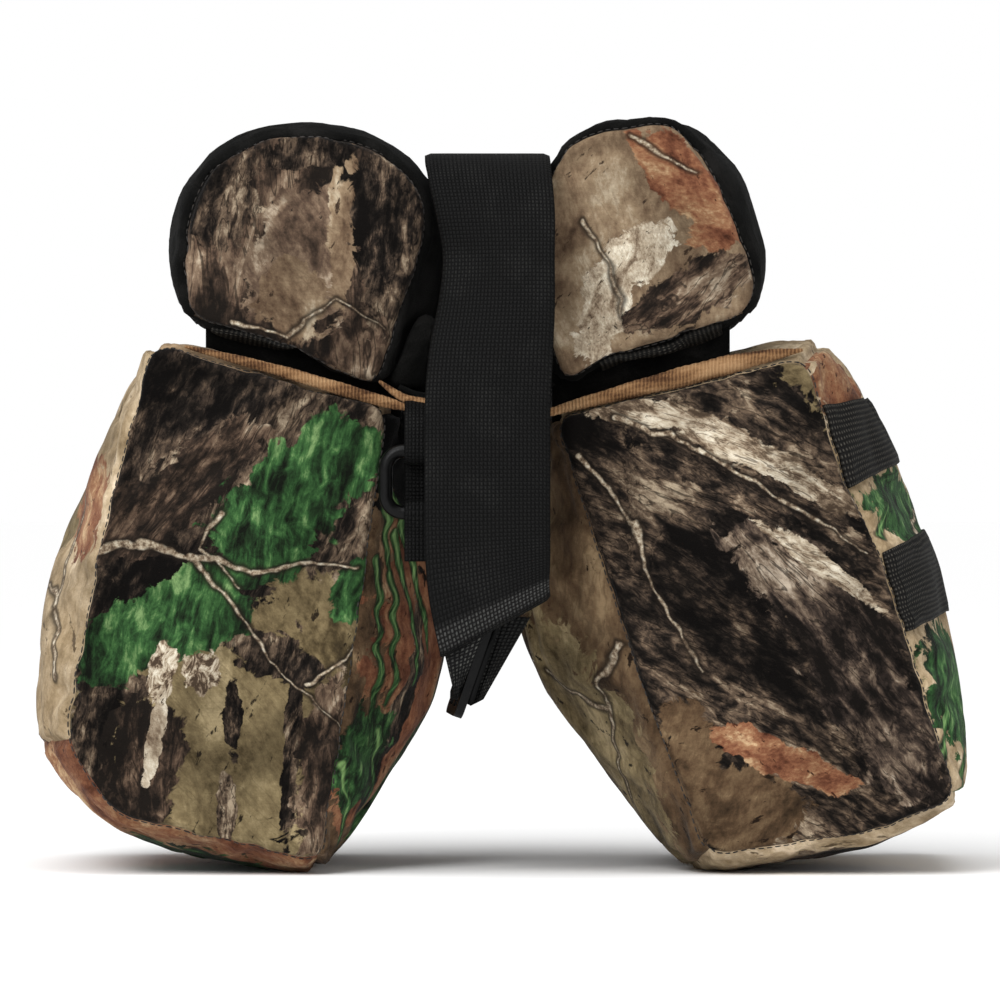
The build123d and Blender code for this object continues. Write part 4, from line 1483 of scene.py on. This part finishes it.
def make_stitches(name, body, tree, lines, made):
    """A row of short thread stitches laid along seam lines on a bag."""
    verts = []
    faces = []
    sides = 6
    for line in lines:
        steps = np.linalg.norm(np.diff(line, axis=0), axis=1)
        run = np.append(0, np.cumsum(steps))
        count = int(run[-1] / STITCH_PITCH)
        for k in range(count):
            ends = []
            for at in (k * STITCH_PITCH, k * STITCH_PITCH + STITCH_LONG):
                point = Vector([np.interp(at, run, line[:, i]) for i in range(3)])
                place, normal, *_ = tree.find_nearest(point)
                ends.append((place, normal))
            (a, up), (b, _) = ends
            along = (b - a).normalized()
            side = along.cross(up).normalized()
            over = side.cross(along)
            base = len(verts)
            for share, size in ((0.0, 0.35), (0.2, 1.0), (0.8, 1.0), (1.0, 0.35)):
                middle = a.lerp(b, share)
                for c in range(sides):
                    turn = 2 * math.pi * c / sides
                    spoke = side * math.cos(turn) + over * math.sin(turn)
                    verts.append(middle + spoke * STITCH_R * size)
            faces += tube_faces(4, sides, base)
    thread = new_object(name, verts, faces, [made])
    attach(thread, body)


# ---- build --------------------------------------------------------------------------
make_camera()
make_stage()
CLOTHS = camo_set()
SUEDE = suede("black_suede", ((4, 4, 4), (12, 12, 11), (27, 26, 25)), 14.0)
WEB = webbing("black_webbing", WEB_TONES)
# The fans beside the slide take the brighter webbing tones: painted light.
FAN_WEB = webbing("fan_webbing_lit", FAN_LIT_TONES)
HOOKS = hook_tape("black_hook_tape")
PLASTIC = plastic("black_plastic")
HEM = hem_cloth("camo_hem", ((34, 22, 15), (82, 57, 38), (126, 94, 64), (158, 126, 92)))
THREAD = thread_material("dark_thread", (14, 11, 9), (44, 36, 28))
SEATS = []

left_bag, left_tube = make_leg(
    "left", ("inner", "top", "outer", "bottom"), (LEG_LONG, LEG_WIDE, LEG_LONG, LEG_WIDE),
    (LEG_LONG, LEG_WIDE), CLOTHS, 3,
)
right_bag, right_tube = make_leg(
    "right", ("bottom", "outer", "top", "inner"), (LEG_WIDE, LEG_LONG, LEG_WIDE, LEG_LONG),
    (LEG_WIDE, LEG_LONG), CLOTHS, 11,
)
left_roll, left_roll_tube = make_roll("left", CLOTHS, SUEDE, 21)
right_roll, right_roll_tube = make_roll("right", CLOTHS, SUEDE, 33)
make_wrap("left", left_roll, left_roll_tube, SUEDE)
make_wrap("right", right_roll, right_roll_tube, SUEDE)

right_tree = tree_of(right_bag.data)
make_strip("hook_tape_high", "hook_band_high", "right_leg", right_tree, 2,
           (27.5 * MM, 150 * MM), HOOKS, 10, 1.5 * MM)
make_strip("hook_tape_low", "hook_band_low", "right_leg", right_tree, 2,
           (26.5 * MM, 150 * MM), HOOKS, 10, 1.5 * MM)
make_strip("left_closure_tape", "left_roll_closure", "left_roll", tree_of(left_roll.data), 0,
           (26 * MM, 142 * MM), HOOKS, 10, 1.2 * MM)
make_strip("right_closure_tape", "right_roll_closure", "right_roll", tree_of(right_roll.data), 0,
           (38.5 * MM, 142 * MM), HOOKS, 14, 1.9 * MM)

make_strap(webbing("strap_webbing", WEB_TONES, fold=FOLD_HIGHLIGHT_AT))
make_tab(WEB)
make_end_loop(WEB)
make_rear_tab(WEB)
make_link(WEB)
make_wedge("slide_fan_left", ((-17.8, -101.5, 70), (-5.0, -101.0, 75)),
           ((-14.4, -97.5, 55.6), (-12.4, -97.5, 56.6)), FAN_WEB)
make_wedge("slide_fan_right", ((-4.0, -92, 80), (8.6, -90, 79)),
           ((-9.6, -93, 52.2), (-5.6, -92, 54.2)), FAN_WEB)
make_yoke(SUEDE)
# A near-black wedge fills the groove between the left roll's tip and the strap.
make_groove_wedge("left_groove_wedge", "left_roll", LEFT_GROOVE_WEDGE, SUEDE)
make_backing(WEB)
make_hem("left_leg_hem", "left_leg", (
    (-97, 161.6, -73.4, 0.4), (-86, 158.9, -74.0, 1.2), (-66, 153.6, -74.4, 1.8),
    (-44, 147.0, -74.6, 2.0), (-34, 144.2, -75.4, 1.6), (-30, 143.2, -77.0, 1.2),
    (-23, 142.0, -79.5, 1.1),
), HEM)
make_hem("yoke_hem", "yoke", (
    (-37.5, 151.0, -71.0, 0.5), (-32, 147.0, -75.0, 1.2), (-28, 145.3, -78.0, 1.3),
    (-20, 144.0, -80.5, 1.4), (-4, 143.2, -81.0, 1.4), (9, 142.4, -79.5, 1.1),
), HEM)
make_hem("right_leg_hem", "right_leg", (
    (8, 140.6, -79.0, 1.0), (15, 141.6, -75.5, 1.3), (22, 143.6, -74.0, 1.7),
    (40, 148.4, -73.4, 2.5), (57, 152.8, -73.0, 3.1), (70, 156.2, -73.0, 2.9),
    (82, 158.9, -73.2, 1.9), (92, 160.6, -73.4, 0.5),
), HEM)
for side, span, leg_bag, roll_bag, hinge in (
    ("left", (-91, -31), left_bag, left_roll, (-36 * MM, 0, 148 * MM)),
    ("right", (15.5, 70), right_bag, right_roll, (17.5 * MM, 0, 149 * MM)),
):
    seat, seat_start, seat_end = make_seat(side, span, leg_bag, roll_bag, hinge, SUEDE)
    SEATS.append((seat, side, seat_start, seat_end))
SEAM_JOBS = (
    ("left_leg", left_bag, left_tube), ("right_leg", right_bag, right_tube),
    ("left_roll", left_roll, left_roll_tube), ("right_roll", right_roll, right_roll_tube),
)
for body, bag, tube in SEAM_JOBS:
    rings = [np.append(tube[row], tube[row][:1], axis=0) for row in (0, -1)]
    make_stitches(f"{body}_seam_thread", body, tree_of(bag.data), rings, THREAD)
for seat, side, seat_start, seat_end in SEATS:
    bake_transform(seat)

for node in ("ring", "tri_glide"):
    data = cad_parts[node].data
    data.materials.clear()
    data.materials.append(PLASTIC)
